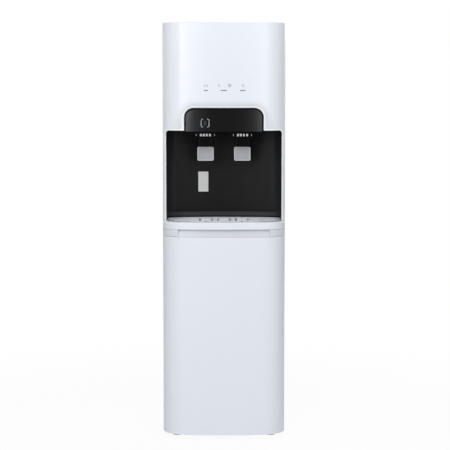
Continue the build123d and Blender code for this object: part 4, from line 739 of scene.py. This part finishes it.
# %% [markdown]
# ## Ink and labels that follow a curved front
# Printed marks lie on the surface under them, and the front is bowed. A mark could be a decal texture,
# but then it would not be a piece of its own. Here each mark starts as a flat outline in millimetres,
# every corner is dropped onto the part behind it along the depth axis, and a Solidify modifier gives the
# ink its thickness.
# %% Outlines for small marks
CORNER_STEPS = 5
RING_STEPS = 20


def on_circle(centre, radius, angle):
    """A point on a circle."""
    return centre[0] + radius * math.cos(angle), centre[1] + radius * math.sin(angle)


def rounded(width, height, radius, centre):
    """Corners of a rectangle with rounded corners, anticlockwise."""
    outline = []
    for turn, (side_x, side_z) in enumerate(((1, 1), (-1, 1), (-1, -1), (1, -1))):
        hub = (centre[0] + side_x * (width / 2 - radius), centre[1] + side_z * (height / 2 - radius))
        for step in range(CORNER_STEPS + 1):
            outline.append(on_circle(hub, radius, math.pi / 2 * (turn + step / CORNER_STEPS)))
    return outline


def ring(radius, width, centre):
    """Short quads that make a ring."""
    angles = [2 * math.pi * step / RING_STEPS for step in range(RING_STEPS + 1)]
    inner = [on_circle(centre, radius - width, angle) for angle in angles]
    outer = [on_circle(centre, radius, angle) for angle in angles]
    return [list(quad) for quad in zip(inner, outer, outer[1:], inner[1:])]


print("a rounded bar has", len(rounded(10.0, 2.4, 0.8, (0.0, 0.0))), "corners")

# %% Drop a mark onto a part
INK_THICKNESS = 0.0001
INK_LIFT = 0.00005
IN_FRONT = -0.2


def drop(point, surface, start_y, inward):
    """The depth at which a point of the front or rear view meets a surface."""
    hit = surface.ray_cast(Vector((point[0], start_y, point[1])), Vector((0.0, inward, 0.0)))
    return hit[0].y


def printed(name, shapes, node, skin, thickness=INK_THICKNESS, start_y=IN_FRONT):
    """A mark made of outlines in millimetres, x and z, laid on a part and riding with it.

    A start_y behind the object lays the mark on a rear face.
    """
    inward = -math.copysign(1.0, start_y)
    carrier = frame["nodes"][node]
    points = [v.co for v in carrier.data.vertices]
    surface = BVHTree.FromPolygons(points, [p.vertices for p in carrier.data.polygons])
    corners, faces = [], []
    for shape in shapes:
        first = len(corners)
        for x, z in shape:
            depth = drop((x * MM, z * MM), surface, start_y, inward)
            corners.append((x * MM, depth - inward * INK_LIFT, z * MM))
        order = range(first, len(corners))
        faces.append(list(order) if inward > 0.0 else list(reversed(order)))
    mesh = bpy.data.meshes.new(name)
    mesh.from_pydata(corners, [], faces)
    mesh.materials.append(skin)
    piece = stand(name, mesh)
    body = carrier["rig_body"]
    lift = piece.modifiers.new("ink", "SOLIDIFY")
    lift.thickness = thickness
    lift.offset = 1.0
    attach(piece, body)
    return piece


print("ink stands", (INK_THICKNESS + INK_LIFT) / MM, "mm proud at most")

# %% Inks and the paper tag
INK_PATCHES = (0.0015, 3.0)
INK_FADE = 0.94
INK_GLOSS = (0.45, 0.6)


def ink(name, colour):
    """Dull ink that lies a little unevenly."""
    finish = Finish(name, Roughness=0.5)
    patchy = finish.noise(*INK_PATCHES)
    finish.drive("Base Color", finish.mix(patchy, shade(colour, INK_FADE), colour))
    finish.roughen(patchy, *INK_GLOSS)
    return finish.material


grey_ink = ink("grey_ink", linear(116, 122, 142))
pale_ink = ink("pale_grey_ink", linear(196, 201, 216))
white_ink = ink("white_ink", linear(246, 247, 250))
dark_ink = ink("dark_grey_ink", linear(84, 86, 90))
silver_ink = ink("dull_silver_ink", linear(206, 208, 212))
tag_paper = ink("white_tag_paper", linear(240, 240, 238))
print("inks:", grey_ink.name, pale_ink.name, white_ink.name, dark_ink.name, silver_ink.name)


# %% [markdown]
# ## The marks on the upper front
# Over the bay the front carries a row of four small windows. Each has a plain geometric sign round it,
# and three short bars lie under the row. The signs could be cut from a font, but a few quads each are
# lighter: two leaning strokes for steam, and a thin ring for each of the others.
# %% Label bars
LABEL_Z = 864.1
LABEL_HEIGHT = 2.4
LABEL_CORNER = 0.8
LABELS = ((-44.0, 10.0), (0.0, 15.0), (46.0, 13.0))
labels = [rounded(width, LABEL_HEIGHT, LABEL_CORNER, (x, LABEL_Z)) for x, width in LABELS]
label_bars = printed("label_bars", labels, "front_frame", grey_ink)
print("label bars:", len(label_bars.data.polygons))

# %% Indicator signs
LENS_Z = 876.3
LENS_X = (-44.0, -12.0, 14.0, 47.0)
STROKE_X = (-3.6, 3.6)
STROKE = (0.9, 5.6, -1.0)
CLEAR_RING = (3.6, 1.0)
FAINT_RING = (3.2, 0.7)


def slanted(x, z, width, height, lean):
    """A short bar that leans to one side."""
    low, high = z - height / 2, z + height / 2
    right, left = x + width / 2, x - width / 2
    return [(right - lean, low), (right + lean, high), (left + lean, high), (left - lean, low)]


steam = [slanted(LENS_X[0] + x, LENS_Z, *STROKE) for x in STROKE_X]
signs = steam + ring(*CLEAR_RING, (LENS_X[2], LENS_Z))
sign_rings = printed("indicator_signs", signs, "front_frame", grey_ink)
faint = ring(*FAINT_RING, (LENS_X[1], LENS_Z)) + ring(*FAINT_RING, (LENS_X[3], LENS_Z))
faint_rings = printed("faint_indicator_signs", faint, "front_frame", pale_ink)
print("signs:", len(sign_rings.data.polygons), "and", len(faint_rings.data.polygons), "faces")


# %% [markdown]
# ## The marks on the taps and the key
# Each tap has a light strip across its upper block: four plain blocks between two end marks. The child
# lock key carries two brackets that face each other, drawn as short bent strips round two small rings.
# %% Tap strips
TAP_X = {"hot": -46.0, "cold": 46.0}
STRIP_Z = 753.6
BLOCK_HEIGHT = 6.6
BLOCK_CORNER = 1.6
BLOCKS = ((-11.4, 4.6), (-4.2, 5.2), (3.4, 5.0), (11.4, 4.8))
END_MARK = (1.4, 4.6, 0.6)
END_MARK_X = (-22.4, 22.4)
for side, middle in TAP_X.items():
    blocks = [rounded(width, BLOCK_HEIGHT, BLOCK_CORNER, (middle + x, STRIP_Z)) for x, width in BLOCKS]
    blocks += [rounded(*END_MARK, (middle + x, STRIP_Z)) for x in END_MARK_X]
    strip = printed(f"{side}_tap_strip", blocks, f"{side}_tap_body", white_ink)
    print(strip.name, "has", len(strip.data.polygons), "blocks")

# %% Key brackets and rings
KEY_CENTRE = (-46.0, 785.0)
BRACKET_HALF = 10.2
BRACKET_REACH = 4.8
BRACKET_CORNER = 2.8
BRACKET_WIDTH = 1.1
INNER_CORNER = 0.6
KEY_RING = (2.5, 0.8)
KEY_RING_LIFT = (-2.5, 2.5)


def bend(half, corner):
    """One edge of a bracket, from its upper end round to its lower end."""
    upper = [(BRACKET_REACH, half), (half - corner, half), (half, half - corner)]
    return upper + [(x, -z) for x, z in reversed(upper)]


def bracket(side):
    """A square bracket as a strip of quads; side is -1 for the left one and 1 for the right one."""
    outer = bend(BRACKET_HALF, BRACKET_CORNER)
    inner = bend(BRACKET_HALF - BRACKET_WIDTH, BRACKET_CORNER * INNER_CORNER)
    quads = zip(outer, outer[1:], inner[1:], inner)
    return [[(KEY_CENTRE[0] + side * x, KEY_CENTRE[1] + z) for x, z in quad] for quad in quads]


key_mark = printed("key_mark", bracket(-1) + bracket(1), "child_lock_key", silver_ink)
key_rings = []
for lift in KEY_RING_LIFT:
    key_rings += ring(*KEY_RING, (KEY_CENTRE[0], KEY_CENTRE[1] + lift))
key_sign = printed("key_sign", key_rings, "child_lock_key", dark_ink)
print("key mark faces:", len(key_mark.data.polygons) + len(key_sign.data.polygons))


# %% [markdown]
# ## The marks on the rear switches
# Two rocker switches on the back turn the heater and the cooler on. As on every rocker of this kind, a
# bar stands for on and a ring for off. Each is laid from behind, at a quarter of the rocker's height from
# its middle.
# %% Rocker marks
BEHIND = 0.3
ROCKER_BAR = (1.0, 4.0, 0.3)
ROCKER_RING = (2.0, 0.7)
for node in ("hot_power_rocker", "cold_power_rocker"):
    low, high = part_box(node)
    middle_x, middle_z = (low.x + high.x) / 2 / MM, (low.z + high.z) / 2 / MM
    reach = (high.z - low.z) / 4 / MM
    bar = rounded(*ROCKER_BAR, (middle_x, middle_z + reach))
    circle = ring(*ROCKER_RING, (middle_x, middle_z - reach))
    marks = printed(f"{node}_marks", [bar] + circle, node, white_ink, start_y=BEHIND)
    print(marks.name, "at", round(middle_x, 1), round(middle_z, 1))


# %% [markdown]
# ## The paper tag in the bay
# A white tag is glued to the wall behind the hot tap: a sheet with round corners, thick enough to catch
# light on its edge. It is laid from a point inside the bay, so that it can't land on the hood.
# %% Paper tag
TAG_SIZE = (25.5, 51.0)
TAG_CORNER = 1.5
TAG_CENTRE = (-52.5, 631.0)
TAG_THICKNESS = 0.0003
INSIDE_BAY = -0.06
tag_outline = rounded(*TAG_SIZE, TAG_CORNER, TAG_CENTRE)
tag = printed("blank_tag", [tag_outline], "bay_liner", tag_paper, TAG_THICKNESS, INSIDE_BAY)
print("tag from z", round(min(v.co.z for v in tag.data.vertices), 4))


# %% [markdown]
# ## The room
# A pale room lights the object softly from all sides and is plain white to the camera. Mirror images need
# care: the lacquered hood would mirror a white wall and turn grey. In a studio the wall that the cooler
# faces is dark, so a mirror ray that leaves straight ahead of its front meets a dim patch, and any other
# meets white. The patch is fixed in the room, so it stays where it is in every view.
# %% World
ROOM_LIGHT = 0.42
ROOM_TINT = (0.96, 0.98, 1.0, 1.0)
FRONT_GLOSS = 0.08
GLOSS_TURN = (-0.9985, -0.955)
world = bpy.data.worlds.new("studio")
bpy.context.scene.world = world
world.use_nodes = True
sky = Network(world.node_tree)
camera_ray = sky.make("ShaderNodeLightPath", output="Is Camera Ray")
through_ray = sky.make("ShaderNodeLightPath", output="Is Transmission Ray")
mirror_ray = sky.make("ShaderNodeLightPath", output="Is Glossy Ray")
direction = sky.make("ShaderNodeTexCoord", output="Generated")
backward = sky.make("ShaderNodeSeparateXYZ", {}, {0: direction}, "Y")
mirrored = sky.ramp(backward, *GLOSS_TURN, FRONT_GLOSS, 1.0)
strength = mirror_ray * (mirrored - ROOM_LIGHT) + ROOM_LIGHT
room = sky.make("ShaderNodeBackground", {}, {"Color": ROOM_TINT, "Strength": strength})
backdrop = sky.make("ShaderNodeBackground", {}, {"Color": PURE_WHITE, "Strength": 1.0})
sky.blend_shaders(camera_ray.at_least(through_ray), room, backdrop, "World Output")
bpy.context.scene.view_settings.view_transform = "Standard"
print("room light:", ROOM_LIGHT)


# %% [markdown]
# ## The floor
# The cooler stands on a pale studio floor that runs into the white room with no visible edge. A glowing
# floor alone would lose the shadow, and a lit one alone would look grey. So the camera sees a mix: mostly
# glow, with enough of the lit floor to darken under the cabinet, and only glow further out.
# %% Floor
FLOOR_HALF = 12.0
FLOOR_GREY = (0.8, 0.8, 0.8, 1.0)
FLOOR_GLOW = 0.94
FLOOR_FADE = (0.5, 1.4)
floor_mesh = bpy.data.meshes.new("floor")
floor_corners = [(x * FLOOR_HALF, y * FLOOR_HALF, 0.0) for x, y in ((-1, -1), (1, -1), (1, 1), (-1, 1))]
floor_mesh.from_pydata(floor_corners, [], [(0, 1, 2, 3)])
floor = stand("floor", floor_mesh)
floor_finish = Finish("pale_floor", Roughness=0.6, Base_Color=FLOOR_GREY)
floor_point = floor_finish.place()
outward = floor_finish.make("ShaderNodeVectorMath", {"operation": "LENGTH"}, {0: floor_point}, "Value")
far = floor_finish.ramp(outward, *FLOOR_FADE)
seen = floor_finish.make("ShaderNodeLightPath", output="Is Camera Ray")
glow = floor_finish.make("ShaderNodeEmission", {}, {"Color": PURE_WHITE, "Strength": 1.0})
lit = Field(floor_finish, floor_finish.surface.outputs[0])
floor_finish.blend_shaders(seen * (FLOOR_GLOW + far * (1.0 - FLOOR_GLOW)), lit, glow, "Material Output")
floor_mesh.materials.append(floor_finish.material)
print("floor half width:", FLOOR_HALF)


# %% [markdown]
# ## The lamps
# Two tall soft boxes stand left and right of the camera: their light runs down the bowed front as two
# faint bright bands, with the edges falling off. The left one is stronger, so the cabinet keeps a light
# and a dark side. A third box hangs above, and a fourth lights the back for the other views. Each row
# gives a lamp's name, its place, the point that it looks at, its width and height, and its watts.
# %% Soft boxes
COOL = (0.97, 0.98, 1.0)
BOXES = (
    ("left_box", (-1.0, -2.6, 1.4), (0.0, 0.0, 0.7), (0.6, 1.8), 18.0),
    ("right_box", (1.0, -2.6, 1.4), (0.0, 0.0, 0.7), (0.6, 1.8), 10.0),
    ("top_box", (0.0, -1.4, 2.6), (0.0, 0.0, 0.8), (1.4, 1.0), 15.5),
    ("back_box", (0.6, 2.4, 1.6), (0.0, 0.0, 0.6), (1.6, 1.2), 16.0),
)


def soft_box(name, place, aim, size, power):
    """A rectangular lamp that looks at a point."""
    lamp = bpy.data.lights.new(name, "AREA")
    lamp.shape = "RECTANGLE"
    lamp.size, lamp.size_y = size
    lamp.energy = power
    lamp.color = COOL
    holder = stand(name, lamp)
    holder.location = place
    holder.rotation_euler = (Vector(aim) - Vector(place)).to_track_quat("-Z", "Y").to_euler()


for box in BOXES:
    soft_box(*box)
print("lamps:", [(box[0], box[-1]) for box in BOXES])
